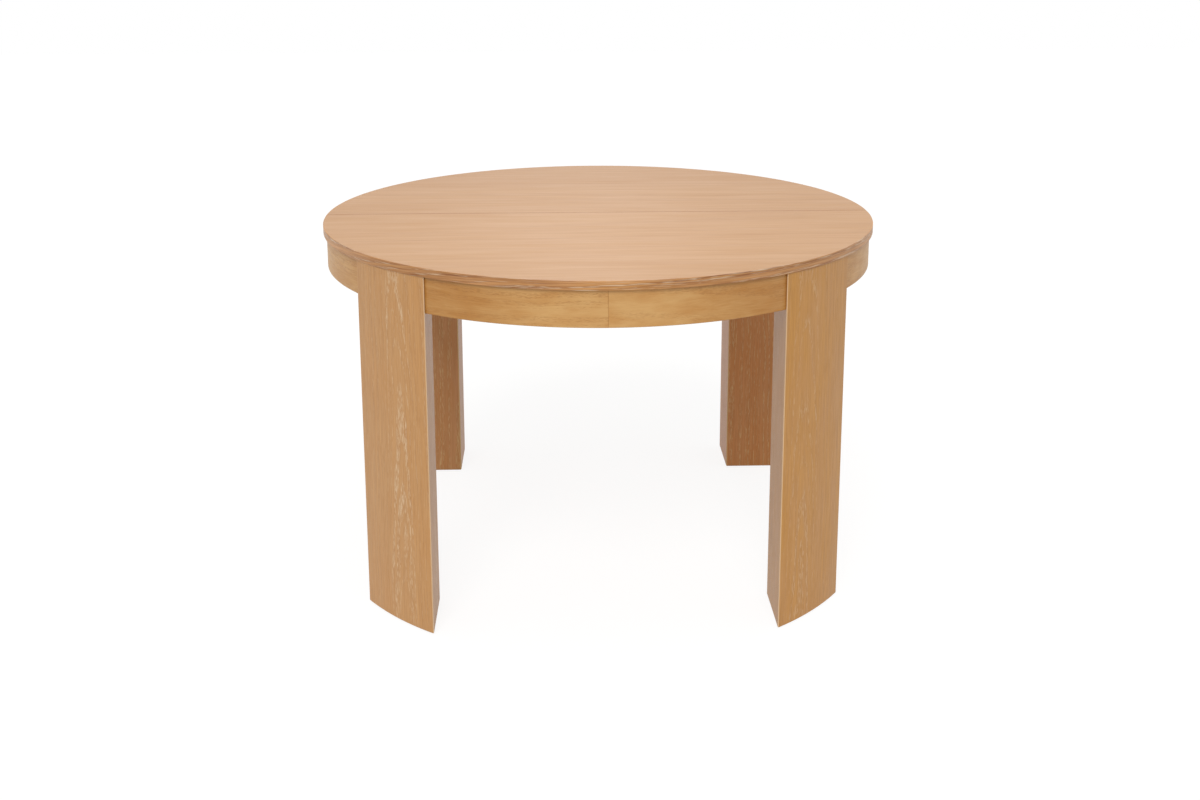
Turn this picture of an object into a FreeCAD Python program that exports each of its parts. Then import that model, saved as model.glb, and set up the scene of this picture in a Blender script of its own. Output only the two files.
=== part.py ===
import FreeCAD, Part
import math
import os
import Sketcher

from FreeCAD import Placement, Rotation, Vector

# Round extending dining table in oak. The top is split across its width, along X.
# Its front half goes to -Y and its back half to +Y on two geared wooden slides, and a
# folded leaf waits on a cradle between the slides.
# Frame: origin on the floor under the middle of the top, +Z up, millimetres.

doc = FreeCAD.newDocument("ExtendingTable")
sheet = doc.addObject("Spreadsheet::Sheet", "Sizes")

SIZES = [
    ("top_diameter", 1200, "round top over its edging"),
    ("table_height", 750, "floor to the face of the top"),
    ("top_thickness", 18, "each half of the top, and the leaf"),
    ("edging_thickness", 2, "oak edging round the top"),
    ("edging_round", 0.8, "eased edges of the edging"),
    ("seam_gap", 1, "dark line between the closed halves"),
    ("slide_travel", 200, "how far each half slides out"),
    ("apron_height", 72, "curved rail under the top"),
    ("apron_thickness", 20, "curved rail, face to face"),
    ("apron_setback", 7, "edge of the top to the apron's face"),
    ("apron_joint_gap", 0.1, "butt joint in the middle of the front and back aprons"),
    ("apron_edge_chamfer", 1, "eased lower edges of the apron"),
    ("leg_setback", 2, "edge of the top to a leg's curved face"),
    ("leg_side_inset", 81, "side face, in from the curved face where it meets the diagonal"),
    ("leg_back_inset", 77, "back face, in from the curved face where it meets the diagonal"),
    ("leg_edge_round", 1.5, "eased upright edges of a leg"),
    ("foot_chamfer", 2.5, "chamfer round the foot of a leg"),
    ("glide_diameter", 22, "nylon glide under a leg"),
    ("glide_thickness", 2, "glide, floor to leg"),
    ("rail_space", 23, "leaf guide to the inner slide rail"),
    ("rail_width", 28, "slide rail across the table"),
    ("rail_height", 48, "slide rail, upright"),
    ("rail_end_space", 1, "end of a slide rail to the head of a leg bolt"),
    ("rail_side_clearance", 0.5, "between neighbouring slide rails"),
    ("rail_top_clearance", 1, "slide rail to the half that passes over it"),
    ("rail_seat_setback", 5, "seat of a slide rail to the seam"),
    ("tongue_height", 6, "tongue of the middle rail, upright"),
    ("tongue_depth", 6, "tongue of the middle rail, how far it stands out"),
    ("tongue_inset", 8, "edge of a slide rail to its tongue"),
    ("tongue_clearance", 0.4, "round a tongue in its groove"),
    ("gear_module", 2, "module of the pinions and racks"),
    ("pinion_teeth", 18, "count"),
    ("pressure_angle", 20, "degrees"),
    ("gear_backlash", 0.2, "play at the pitch line"),
    ("pinion_height", 10, "face width of a pinion"),
    ("pinion_clearance", 0.4, "over and under a pinion"),
    ("pinion_end_space", 1.5, "tips of a pinion to its window's ends"),
    ("pinion_pin_diameter", 6, "steel pin that a pinion turns on"),
    ("pinion_pin_overlap", 15, "wood that holds the pin over and under the window"),
    ("running_clearance", 0.08, "radial play of a bore on its pin"),
    ("rack_back", 4, "rack behind the roots of its teeth"),
    ("rack_spare_teeth", 4, "count past the last tooth in use"),
    ("stop_pin_diameter", 5, "steel pin that stops the slide"),
    ("stop_inset", 15, "end of a rail to its stop pin"),
    ("stop_clearance", 0.3, "stop pin to the tongue's end when open"),
    ("bearer_thickness", 20, "cross bar under the slides"),
    ("bearer_width", 60, "cross bar along the table"),
    ("bearer_spacing", 130, "middle to middle of an outer cross bar and its neighbour"),
    ("bearer_end_inset", 5, "end of the middle rail to an outer cross bar"),
    ("bearer_clearance", 0.6, "cross bar to the rails that pass over it"),
    ("leaf_pad_thickness", 1.5, "felt pad under the folded leaf"),
    ("leaf_pad_length", 60, "felt pad across the table"),
    ("leaf_pad_width", 30, "felt pad along the table"),
    ("leaf_side_clearance", 2, "end of the folded leaf to its guides"),
    ("leaf_guide_width", 20, "guide block across the table"),
    ("leaf_guide_length", 40, "guide block along the table"),
    ("leaf_guide_height", 24, "guide block, upright"),
    ("hinge_barrel_diameter", 10, "brass barrel let into the leaf"),
    ("hinge_barrel_length", 26, "brass barrel, depth in the leaf"),
    ("hinge_link_thickness", 1.5, "brass link between two barrels"),
    ("hinge_link_width", 6, "brass link along the table"),
    ("hinge_spacing", 100, "hinge to hinge"),
    ("cleat_thickness", 25, "cleats and glue blocks"),
    ("cleat_height", 40, "cleats and glue blocks, upright"),
    ("cleat_setback", 10, "ends of a cleat to the leg's corner and the apron"),
    ("middle_block_length", 80, "glue block behind the apron's butt joint"),
    ("side_block_length", 50, "glue block at the seam end of a side apron"),
    ("side_block_setback", 12, "seam to a side glue block"),
    ("dowel_diameter", 8, "beech dowel between apron and leg"),
    ("dowel_length", 30, "beech dowel"),
    ("dowel_edge", 17, "edge of the apron to a dowel's axis"),
    ("screw_diameter", 5, "wood screw, shank"),
    ("screw_length", 50, "wood screw, over its head"),
    ("screw_head_diameter", 9, "wood screw, head"),
    ("screw_head_height", 3, "wood screw, head"),
    ("screw_end_inset", 15, "end of a cleat or block to a screw"),
    ("rail_screw_inset", 9, "plain face of a slide rail to its screws"),
    ("rail_screw_seam_space", 40, "seam to the first screw of a slide rail"),
    ("bolt_diameter", 8, "leg bolt, shank"),
    ("bolt_length", 60, "leg bolt under its head"),
    ("bolt_head_diameter", 13, "leg bolt, socket head"),
    ("bolt_head_height", 5, "leg bolt, socket head"),
    ("seam_pin_diameter", 6, "pin that lines the halves up"),
    ("seam_pin_seat", 18, "pin inside its own half"),
    ("seam_pin_reach", 12, "pin that stands out past the seam"),
    ("seam_pin_inner", 150, "middle of the table to the inner pins"),
    ("seam_pin_outer", 450, "middle of the table to the outer pins"),
    ("socket_wall", 1.5, "brass socket for a seam pin"),
    ("socket_clearance", 0.3, "round a seam pin in its socket"),
    ("socket_spare", 3, "socket past the end of the pin"),
    ("latch_space", 8, "outer slide rail to the parked lever"),
    ("latch_pivot_setback", 35, "seam to the lever's pivot"),
    ("latch_reach", 60, "pivot to keeper pin"),
    ("latch_plate_width", 50, "plate across the table"),
    ("latch_plate_length", 46, "plate along the table"),
    ("latch_plate_thickness", 2, "latch plate and keeper plate"),
    ("latch_plate_setback", 8, "seam to either plate"),
    ("keeper_plate_length", 34, "keeper plate along the table"),
    ("latch_clearance", 0.3, "over and under the lever"),
    ("lever_thickness", 3, "steel lever"),
    ("lever_width", 14, "arm of the lever"),
    ("lever_hub_diameter", 24, "round end of the lever"),
    ("lever_head_length", 24, "hooked end, along the arm"),
    ("lever_head_width", 20, "hooked end, across the arm"),
    ("keeper_pin_diameter", 8, "pin that the lever hooks on"),
    ("keeper_pin_length", 10, "pin under its plate"),
    ("keeper_clearance", 1.2, "round the pin in the hook"),
    ("knob_diameter", 12, "finger knob of the lever"),
    ("knob_height", 12, "finger knob of the lever"),
    ("rivet_diameter", 6, "rivet that the lever turns on"),
    ("rivet_head_diameter", 12, "rivet, head"),
    ("rivet_head_height", 2, "rivet, head"),
    ("plate_screw_diameter", 3, "small screw, shank"),
    ("plate_screw_length", 11, "small screw, over its head"),
    ("plate_screw_head_diameter", 5.5, "small screw, head"),
    ("plate_screw_head_height", 1, "small screw, head, flush with the plate"),
    ("plate_screw_inset", 6, "corner of a plate to its screws"),
]


class Size:
    """A number together with the sheet expression that it comes from."""

    def __init__(self, value, text):
        self.value = value
        self.text = text

    def __add__(self, other):
        other = as_size(other)
        return Size(self.value + other.value, "(" + self.text + " + " + other.text + ")")

    def __sub__(self, other):
        other = as_size(other)
        return Size(self.value - other.value, "(" + self.text + " - " + other.text + ")")

    def __mul__(self, other):
        other = as_size(other)
        return Size(self.value * other.value, "(" + self.text + " * " + other.text + ")")

    def __truediv__(self, other):
        other = as_size(other)
        return Size(self.value / other.value, "(" + self.text + " / " + other.text + ")")

    def __neg__(self):
        return Size(-self.value, "(-" + self.text + ")")


def as_size(number):
    if isinstance(number, Size):
        return number
    return Size(float(number), str(float(number)))


def reach_at(radius, offset):
    """Distance from the middle at which a circle meets a line that lies offset from it."""
    value = math.sqrt(radius.value ** 2 - offset.value ** 2)
    return Size(value, "sqrt(" + radius.text + " ^ 2 - " + offset.text + " ^ 2)")


size = {}
for row, (alias, number, note) in enumerate(SIZES, 1):
    sheet.set("A" + str(row), alias)
    sheet.set("B" + str(row), str(number))
    sheet.set("C" + str(row), note)
    sheet.setAlias("B" + str(row), alias)
    size[alias] = Size(float(number), "Sizes." + alias)
doc.recompute()

ZERO = as_size(0)
SIDES = ("left", "right")
ENDS = ("front", "back")
ACROSS = Vector(1, 0, 0)
ALONG = Vector(0, 1, 0)
UP = Vector(0, 0, 1)

# Heights and radii that several pieces share.
top_radius = size["top_diameter"] / 2
table_height = size["table_height"]
underside = table_height - size["top_thickness"]
apron_outer = top_radius - size["apron_setback"]
apron_inner = apron_outer - size["apron_thickness"]
apron_bottom = underside - size["apron_height"]
leg_radius = top_radius - size["leg_setback"]
DIAGONAL_SHARE = math.sqrt(0.5)
leg_diagonal = leg_radius * DIAGONAL_SHARE
leg_side = leg_diagonal - size["leg_side_inset"]
leg_back = leg_diagonal - size["leg_back_inset"]
cleat_bottom = underside - size["cleat_height"]
half_seam = size["seam_gap"] / 2


def bind(item, name, number):
    """Give a property its value and tie it to the sheet."""
    number = as_size(number)
    if name.startswith("Placement"):
        if number.value or number.text != ZERO.text:
            item.setExpression(name, number.text)
        return
    setattr(item, name, number.value)
    item.setExpression(name, number.text)


def place(item, x, y, z, turn=Rotation()):
    x = as_size(x)
    y = as_size(y)
    z = as_size(z)
    item.Placement = Placement(Vector(x.value, y.value, z.value), turn)
    bind(item, "Placement.Base.x", x)
    bind(item, "Placement.Base.y", y)
    bind(item, "Placement.Base.z", z)
    return item


def block(x0, x1, y0, y1, z0, z1):
    item = doc.addObject("Part::Box", "Block")
    bind(item, "Length", as_size(x1) - x0)
    bind(item, "Width", as_size(y1) - y0)
    bind(item, "Height", as_size(z1) - z0)
    return place(item, x0, y0, z0)


def rod(x, y, z, length, diameter, axis=UP):
    """A round bar that starts at x, y, z and runs along axis."""
    item = doc.addObject("Part::Cylinder", "Rod")
    bind(item, "Radius", as_size(diameter) / 2)
    bind(item, "Height", length)
    return place(item, x, y, z, Rotation(UP, axis))


def fuse(items):
    item = doc.addObject("Part::MultiFuse", "Joined")
    item.Shapes = list(items)
    return item


def common(items):
    item = doc.addObject("Part::MultiCommon", "Shared")
    item.Shapes = list(items)
    return item


def cluster(items):
    item = doc.addObject("Part::Compound", "Group")
    item.Links = list(items)
    return item


def cut(base, tools):
    item = doc.addObject("Part::Cut", "Cut")
    item.Base = base
    item.Tool = tools[0] if len(tools) == 1 else cluster(tools)
    return item


def ring(outer_radius, inner_radius, z0, z1, x=ZERO, y=ZERO):
    outer = rod(x, y, z0, z1 - z0, outer_radius * 2)
    inner = rod(x, y, z0, z1 - z0, inner_radius * 2)
    return cut(outer, [inner])


def mirror(source, normal):
    item = doc.addObject("Part::Mirroring", "Mirrored")
    item.Source = source
    item.Normal = normal
    return item


def reflect(source, side, end):
    """Carry a piece of the back right quarter over to another quarter."""
    item = source
    if side == "left":
        item = mirror(item, ACROSS)
    if end == "front":
        item = mirror(item, ALONG)
    return item


def chosen_edges(shape, wanted):
    return ["Edge" + str(i) for i, edge in enumerate(shape.Edges, 1) if wanted(edge)]


def ease(source, kind, number, wanted):
    """Part::Fillet or Part::Chamfer on the chosen edges of a piece."""
    doc.recompute()
    item = doc.addObject(kind, "Eased")
    item.Base = source
    chosen = [i for i, edge in enumerate(source.Shape.Edges, 1) if wanted(edge)]
    item.Edges = [(i, number.value, number.value) for i in chosen]
    return item


pieces = {}


def piece(name, item):
    item.Label = name
    pieces[name] = item
    return item


def new_body(name):
    return doc.addObject("PartDesign::Body", name)


def new_sketch(body, role):
    plane = [item for item in body.Origin.OriginFeatures if item.Role == role][0]
    sketch = body.newObject("Sketcher::SketchObject", "Outline")
    sketch.AttachmentSupport = [(plane, "")]
    sketch.MapMode = "FlatFace"
    return sketch


def pin_point(sketch, line, end, x, y):
    """Fix the x and y of a line's end, both measured from the sketch's origin."""
    for kind, number in (("DistanceX", x), ("DistanceY", y)):
        index = sketch.addConstraint(Sketcher.Constraint(kind, -1, 1, line, end, number.value))
        sketch.setExpression("Constraints[" + str(index) + "]", number.text)


def draw_outline(sketch, points):
    """Closed outline of straight lines, with every corner tied to the sheet."""
    corners = [Vector(x.value, y.value, 0) for x, y in points]
    count = len(points)
    for i in range(count):
        sketch.addGeometry(Part.LineSegment(corners[i], corners[(i + 1) % count]), False)
    for i in range(count):
        sketch.addConstraint(Sketcher.Constraint("Coincident", i, 2, (i + 1) % count, 1))
        pin_point(sketch, i, 1, points[i][0], points[i][1])


def pad(body, sketch, length, midplane=False):
    item = body.newObject("PartDesign::Pad", "Pad")
    item.Profile = sketch
    item.Midplane = midplane
    bind(item, "Length", length)
    return item


# Fasteners. A wood screw points up with the underside of its head at its place.
def wood_screw(x, y, z):
    head = rod(x, y, z, size["screw_head_height"], size["screw_head_diameter"])
    shank = rod(x, y, z, size["screw_length"], size["screw_diameter"])
    return fuse([head, shank])


def plate_screw(x, y, z):
    head = rod(x, y, z, size["plate_screw_head_height"], size["plate_screw_head_diameter"])
    shank = rod(x, y, z, size["plate_screw_length"], size["plate_screw_diameter"])
    return fuse([head, shank])


# Half tops: veneered boards with an oak edging, made for the back and mirrored.
board = common([
    rod(0, 0, underside, size["top_thickness"], (top_radius - size["edging_thickness"]) * 2),
    block(-top_radius, top_radius, half_seam, top_radius, underside, table_height),
])
edging_ring = common([
    ring(top_radius, top_radius - size["edging_thickness"], underside, table_height),
    block(-top_radius, top_radius, half_seam, top_radius, underside, table_height),
])


def is_outer_arc(edge):
    if not isinstance(edge.Curve, Part.Circle):
        return False
    return edge.Curve.Radius > top_radius.value - size["edging_thickness"].value / 2


edging = ease(edging_ring, "Part::Fillet", size["edging_round"], is_outer_arc)

# Leg: a solid wedge. Its curved face follows the top and its two flat faces meet in a
# square corner that points at the middle of the table.
leg_tip = reach_at(leg_radius, leg_side)
leg_heel = reach_at(leg_radius, leg_back)
leg_body = new_body("LegBody")
leg_sketch = new_sketch(leg_body, "XY_Plane")
corner = Vector(leg_side.value, leg_back.value, 0)
tip = Vector(leg_side.value, leg_tip.value, 0)
heel = Vector(leg_heel.value, leg_back.value, 0)
heel_angle = math.atan2(heel.y, heel.x)
tip_angle = math.atan2(tip.y, tip.x)
circle = Part.Circle(Vector(0, 0, 0), UP, leg_radius.value)
leg_sketch.addGeometry(Part.LineSegment(corner, heel), False)
leg_sketch.addGeometry(Part.ArcOfCircle(circle, heel_angle, tip_angle), False)
leg_sketch.addGeometry(Part.LineSegment(tip, corner), False)
leg_sketch.addConstraint(Sketcher.Constraint("Coincident", 0, 2, 1, 1))
leg_sketch.addConstraint(Sketcher.Constraint("Coincident", 1, 2, 2, 1))
leg_sketch.addConstraint(Sketcher.Constraint("Coincident", 2, 2, 0, 1))
leg_sketch.addConstraint(Sketcher.Constraint("Coincident", 1, 3, -1, 1))
leg_sketch.addConstraint(Sketcher.Constraint("Horizontal", 0))
leg_sketch.addConstraint(Sketcher.Constraint("Vertical", 2))
arc_radius = leg_sketch.addConstraint(Sketcher.Constraint("Radius", 1, leg_radius.value))
leg_sketch.setExpression("Constraints[" + str(arc_radius) + "]", leg_radius.text)
pin_point(leg_sketch, 0, 1, leg_side, leg_back)
leg_pad = pad(leg_body, leg_sketch, underside - size["glide_thickness"])
doc.recompute()


def is_upright(edge):
    return edge.BoundBox.ZLength > size["apron_height"].value


def is_at_foot(edge):
    return edge.BoundBox.ZMax < size["foot_chamfer"].value


leg_chamfer = leg_body.newObject("PartDesign::Chamfer", "FootEdges")
leg_chamfer.Base = (leg_pad, chosen_edges(leg_pad.Shape, is_at_foot))
bind(leg_chamfer, "Size", size["foot_chamfer"])
doc.recompute()
leg_round = leg_body.newObject("PartDesign::Fillet", "LegEdges")
leg_round.Base = (leg_chamfer, chosen_edges(leg_chamfer.Shape, is_upright))
bind(leg_round, "Radius", size["leg_edge_round"])
place(leg_body, 0, 0, size["glide_thickness"])

# Aprons: bent laminations that butt against the legs, one over the end and one at the side.
def is_lower_circle(edge):
    return isinstance(edge.Curve, Part.Circle) and edge.BoundBox.ZMax < cleat_bottom.value


apron_ring = ease(ring(apron_outer, apron_inner, apron_bottom, underside), "Part::Chamfer",
                  size["apron_edge_chamfer"], is_lower_circle)
end_apron = common([
    apron_ring,
    block(size["apron_joint_gap"] / 2, leg_side, leg_back, top_radius, apron_bottom, underside),
])
side_apron = common([
    apron_ring,
    block(leg_side, top_radius, half_seam, leg_back, apron_bottom, underside),
])

# Dowels between aprons and legs. They follow the apron's middle line at the joint.
apron_middle = (apron_outer + apron_inner) / 2


def dowel(x, y, z):
    """A dowel centred on x, y, z that runs along the apron's curve."""
    spin = math.atan2(y.value, x.value)
    direction = Vector(math.sin(spin), -math.cos(spin), 0)
    start = Vector(x.value, y.value, z.value) - direction * (size["dowel_length"].value / 2)
    item = doc.addObject("Part::Feature", "Dowel")
    item.Shape = Part.makeCylinder(size["dowel_diameter"].value / 2, size["dowel_length"].value,
                                   start, direction)
    return item


dowels = []
for dowel_height in (apron_bottom + size["dowel_edge"], underside - size["dowel_edge"]):
    dowels.append(dowel(leg_side, reach_at(apron_middle, leg_side), dowel_height))
    dowels.append(dowel(reach_at(apron_middle, leg_back), leg_back, dowel_height))

# Cleats in the leg's inner corner, and the bolts that pull the leg against them.
cleat_along_end = reach_at(apron_inner, leg_side) - size["cleat_setback"]
cleat_across_end = reach_at(apron_inner, leg_back) - size["cleat_setback"]
cleat_along = [leg_back + size["cleat_setback"], cleat_along_end]
cleat_across = [leg_side + size["cleat_setback"], cleat_across_end]
cleat_near_side = leg_side - size["cleat_thickness"]
cleat_near_back = leg_back - size["cleat_thickness"]
side_cleat = block(cleat_near_side, leg_side, cleat_along[0], cleat_along[1], cleat_bottom, underside)
back_cleat = block(cleat_across[0], cleat_across[1], cleat_near_back, leg_back, cleat_bottom, underside)
bolt_height = (cleat_bottom + underside) / 2
bolt_along = (cleat_along[0] + cleat_along[1]) / 2
bolt_across = (cleat_across[0] + cleat_across[1]) / 2
head_height = size["bolt_head_height"]
head_diameter = size["bolt_head_diameter"]
bolt_length = size["bolt_length"]
bolt_diameter = size["bolt_diameter"]
bolts = [
    fuse([
        rod(cleat_near_side - head_height, bolt_along, bolt_height, head_height, head_diameter, ACROSS),
        rod(cleat_near_side - head_height, bolt_along, bolt_height, head_height + bolt_length,
            bolt_diameter, ACROSS),
    ]),
    fuse([
        rod(bolt_across, cleat_near_back - head_height, bolt_height, head_height, head_diameter, ALONG),
        rod(bolt_across, cleat_near_back - head_height, bolt_height, head_height + bolt_length,
            bolt_diameter, ALONG),
    ]),
]
screw_end = size["screw_end_inset"]
cleat_screw_x = (cleat_near_side + leg_side) / 2
cleat_screw_y = (cleat_near_back + leg_back) / 2
cleat_screws = [
    wood_screw(cleat_screw_x, cleat_along[0] + screw_end, cleat_bottom),
    wood_screw(cleat_screw_x, cleat_along[1] - screw_end, cleat_bottom),
    wood_screw(cleat_across[0] + screw_end, cleat_screw_y, cleat_bottom),
    wood_screw(cleat_across[1] - screw_end, cleat_screw_y, cleat_bottom),
]

# Glue blocks: one behind the butt joint of the end apron, one at each seam end.
block_half = size["middle_block_length"] / 2
middle_block = common([
    rod(0, 0, cleat_bottom, size["cleat_height"], apron_inner * 2),
    block(-block_half, block_half, apron_inner - size["cleat_thickness"], apron_inner,
          cleat_bottom, underside),
])
side_block_start = size["side_block_setback"]
side_block_end = side_block_start + size["side_block_length"]
side_block = common([
    rod(0, 0, cleat_bottom, size["cleat_height"], apron_inner * 2),
    block(apron_inner - size["cleat_thickness"], apron_inner, side_block_start, side_block_end,
          cleat_bottom, underside),
])
block_screw_reach = apron_inner - size["cleat_thickness"] / 2
middle_block_screws = [
    wood_screw(block_half - screw_end, block_screw_reach, cleat_bottom),
    wood_screw(screw_end - block_half, block_screw_reach, cleat_bottom),
]
side_block_screws = [
    wood_screw(block_screw_reach, side_block_start + screw_end, cleat_bottom),
    wood_screw(block_screw_reach, side_block_end - screw_end, cleat_bottom),
]

# Glides, three under each leg, at shares of the leg's two flat faces from its corner.
GLIDE_SHARES = [(0.15, 0.15), (0.72, 0.15), (0.15, 0.72)]
glides = []
for across_share, along_share in GLIDE_SHARES:
    glides.append(rod(leg_side + (leg_heel - leg_side) * across_share,
                      leg_back + (leg_tip - leg_back) * along_share,
                      0, size["glide_thickness"], size["glide_diameter"]))

# The quarter is finished here: each wooden piece is cut by the fasteners in it.
leg = cut(leg_body, dowels + bolts)
end_apron = cut(end_apron, dowels)
side_apron = cut(side_apron, dowels)
cleats = [cut(side_cleat, [bolts[0]] + cleat_screws[:2]), cut(back_cleat, [bolts[1]] + cleat_screws[2:])]
side_glue_block = cut(side_block, side_block_screws)
middle_glue_block = cut(middle_block, middle_block_screws)

for end in ENDS:
    for side in SIDES:
        piece(end + "_leg_" + side, reflect(leg, side, end))
        piece(end + "_apron_" + side, reflect(end_apron, side, end))
        piece(end + "_side_apron_" + side, reflect(side_apron, side, end))
    both = [(item, side) for side in SIDES for item in cleats]
    piece(end + "_leg_cleats", cluster([reflect(item, side, end) for item, side in both]))
    both = [(item, side) for side in SIDES for item in bolts]
    piece(end + "_leg_bolts", cluster([reflect(item, side, end) for item, side in both]))
    both = [(item, side) for side in SIDES for item in dowels]
    piece(end + "_apron_dowels", cluster([reflect(item, side, end) for item, side in both]))
    both = [(item, side) for side in SIDES for item in glides]
    piece(end + "_leg_glides", cluster([reflect(item, side, end) for item, side in both]))
    blocks = [reflect(side_glue_block, side, end) for side in SIDES]
    blocks.append(reflect(middle_glue_block, "right", end))
    piece(end + "_apron_blocks", cluster(blocks))

# Slides: on each side an inner rail under the back half, a middle rail with tongues, and an
# outer rail under the front half. The sections are drawn for the right-hand side.
leaf_half = top_radius / 2
guide_face = leaf_half + size["leaf_side_clearance"]
inner_rail = [guide_face + size["leaf_guide_width"] + size["rail_space"]]
inner_rail.append(inner_rail[0] + size["rail_width"])
middle_rail = [inner_rail[1] + size["rail_side_clearance"]]
middle_rail.append(middle_rail[0] + size["rail_width"])
outer_rail = [middle_rail[1] + size["rail_side_clearance"]]
outer_rail.append(outer_rail[0] + size["rail_width"])
rail_half = cleat_near_back - head_height - size["rail_end_space"]
rail_bottom = underside - size["rail_height"]
middle_rail_top = underside - size["rail_top_clearance"]
middle_rail_bottom = rail_bottom - size["bearer_clearance"]
tongue_inset = size["tongue_inset"]
upper_tongue = [underside - tongue_inset - size["tongue_height"], underside - tongue_inset]
lower_tongue = [rail_bottom + tongue_inset, rail_bottom + tongue_inset + size["tongue_height"]]
gear_middle = (upper_tongue[0] + lower_tongue[1]) / 2
gear_space = size["pinion_height"] / 2 + size["pinion_clearance"]
rack_slot = [gear_middle - gear_space, gear_middle + gear_space]
pinion_x = (middle_rail[0] + middle_rail[1]) / 2
pitch_radius = size["gear_module"] * size["pinion_teeth"] / 2
DEDENDUM_SHARE = 1.25
dedendum = size["gear_module"] * DEDENDUM_SHARE
pitch_past_face = pitch_radius - size["rail_width"] / 2 - size["rail_side_clearance"]
rack_slot_depth = pitch_past_face + dedendum + size["rack_back"]
groove_depth = size["tongue_depth"] + size["tongue_clearance"]
play = size["tongue_clearance"]


def grooved_section(back, face, inward):
    """Section of a rail whose grooved face is at face; inward is the way the grooves go."""
    points = [(face, rail_bottom), (back, rail_bottom), (back, underside), (face, underside)]
    grooves = [
        (upper_tongue[1] + play, upper_tongue[0] - play, groove_depth),
        (rack_slot[1], rack_slot[0], rack_slot_depth),
        (lower_tongue[1] + play, lower_tongue[0] - play, groove_depth),
    ]
    for ceiling, floor, depth in grooves:
        deep = face + depth * inward
        points += [(face, ceiling), (deep, ceiling), (deep, floor), (face, floor)]
    return points


def tongued_section():
    low, high = middle_rail
    depth = size["tongue_depth"]
    points = [(low, middle_rail_bottom), (high, middle_rail_bottom)]
    for floor, ceiling in (lower_tongue, upper_tongue):
        points += [(high, floor), (high + depth, floor), (high + depth, ceiling), (high, ceiling)]
    points += [(high, middle_rail_top), (low, middle_rail_top)]
    for floor, ceiling in (upper_tongue, lower_tongue):
        points += [(low, ceiling), (low - depth, ceiling), (low - depth, floor), (low, floor)]
    return points


def rail_from(name, points):
    body = new_body(name)
    sketch = new_sketch(body, "XZ_Plane")
    draw_outline(sketch, points)
    pad(body, sketch, rail_half * 2, midplane=True)
    return body


inner_rail_bar = rail_from("InnerRail", grooved_section(inner_rail[0], inner_rail[1], -1))
outer_rail_bar = rail_from("OuterRail", grooved_section(outer_rail[1], outer_rail[0], 1))
middle_rail_bar = rail_from("MiddleRail", tongued_section())

# The part of each moving rail that lies under the other half is planed down, so that
# half passes over it.
seat_end = size["rail_seat_setback"]
inner_relief = block(inner_rail[0], inner_rail[1], -rail_half, seat_end, middle_rail_top, underside)
outer_relief = block(outer_rail[0], outer_rail[1], -seat_end, rail_half, middle_rail_top, underside)

# Stop pins cross the lower grooves. The lower tongues are cut short, and a pin meets the
# tongue's end when the table is fully open.
stop_along = rail_half - size["stop_inset"]
stop_radius = size["stop_pin_diameter"] / 2
tongue_end = stop_along - size["slide_travel"] - stop_radius - size["stop_clearance"]
stop_ceiling = lower_tongue[1] + play
stop_length = stop_ceiling - rail_bottom
outer_stop = rod(outer_rail[0] + groove_depth / 2, stop_along, rail_bottom, stop_length,
                 size["stop_pin_diameter"])
inner_stop = rod(inner_rail[1] - groove_depth / 2, -stop_along, rail_bottom, stop_length,
                 size["stop_pin_diameter"])
short_tongues = [
    block(middle_rail[1], outer_rail[0] + groove_depth, tongue_end, rail_half,
          lower_tongue[0], lower_tongue[1]),
    block(inner_rail[1] - groove_depth, middle_rail[0], -rail_half, -tongue_end,
          lower_tongue[0], lower_tongue[1]),
]

# Pinions turn in windows of the middle rails, on steel pins.
pinion_reach = pitch_radius + size["gear_module"]
window_half = pinion_reach + size["pinion_end_space"]
pinion_window = block(middle_rail[0], middle_rail[1], -window_half, window_half, rack_slot[0], rack_slot[1])
pin_bottom = rack_slot[0] - size["pinion_pin_overlap"]
pin_length = rack_slot[1] + size["pinion_pin_overlap"] - pin_bottom
pinion_pin = rod(pinion_x, 0, pin_bottom, pin_length, size["pinion_pin_diameter"])

module = size["gear_module"].value
teeth = int(round(size["pinion_teeth"].value))
slope = math.radians(size["pressure_angle"].value)
tooth_pitch = math.pi * module
play_half = size["gear_backlash"].value / 4


def involute(angle):
    return math.tan(angle) - angle


def pinion_solid(x):
    """Spur pinion with one tooth pointing along +X and one along -X."""
    pitch_r = pitch_radius.value
    tip_r = pitch_r + module
    root_r = pitch_r - dedendum.value
    base_r = pitch_r * math.cos(slope)
    flank_steps = 5
    half_angle = math.pi / (2 * teeth) - play_half / pitch_r + involute(slope)
    flank = [(root_r, half_angle)]
    for step in range(flank_steps + 1):
        radius = base_r + (tip_r - base_r) * step / flank_steps
        flank.append((radius, half_angle - involute(math.acos(min(1, base_r / radius)))))
    points = []
    for tooth in range(teeth):
        middle = 2 * math.pi * tooth / teeth
        for radius, offset in flank:
            points.append(Vector(radius * math.cos(middle - offset), radius * math.sin(middle - offset), 0))
        for radius, offset in reversed(flank):
            points.append(Vector(radius * math.cos(middle + offset), radius * math.sin(middle + offset), 0))
    face = Part.Face(Part.makePolygon(points + points[:1]))
    gear = face.extrude(UP * size["pinion_height"].value)
    bore = size["pinion_pin_diameter"].value / 2 + size["running_clearance"].value
    gear = gear.cut(Part.makeCylinder(bore, size["pinion_height"].value))
    gear.translate(Vector(x.value, 0, gear_middle.value - size["pinion_height"].value / 2))
    return gear


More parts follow.
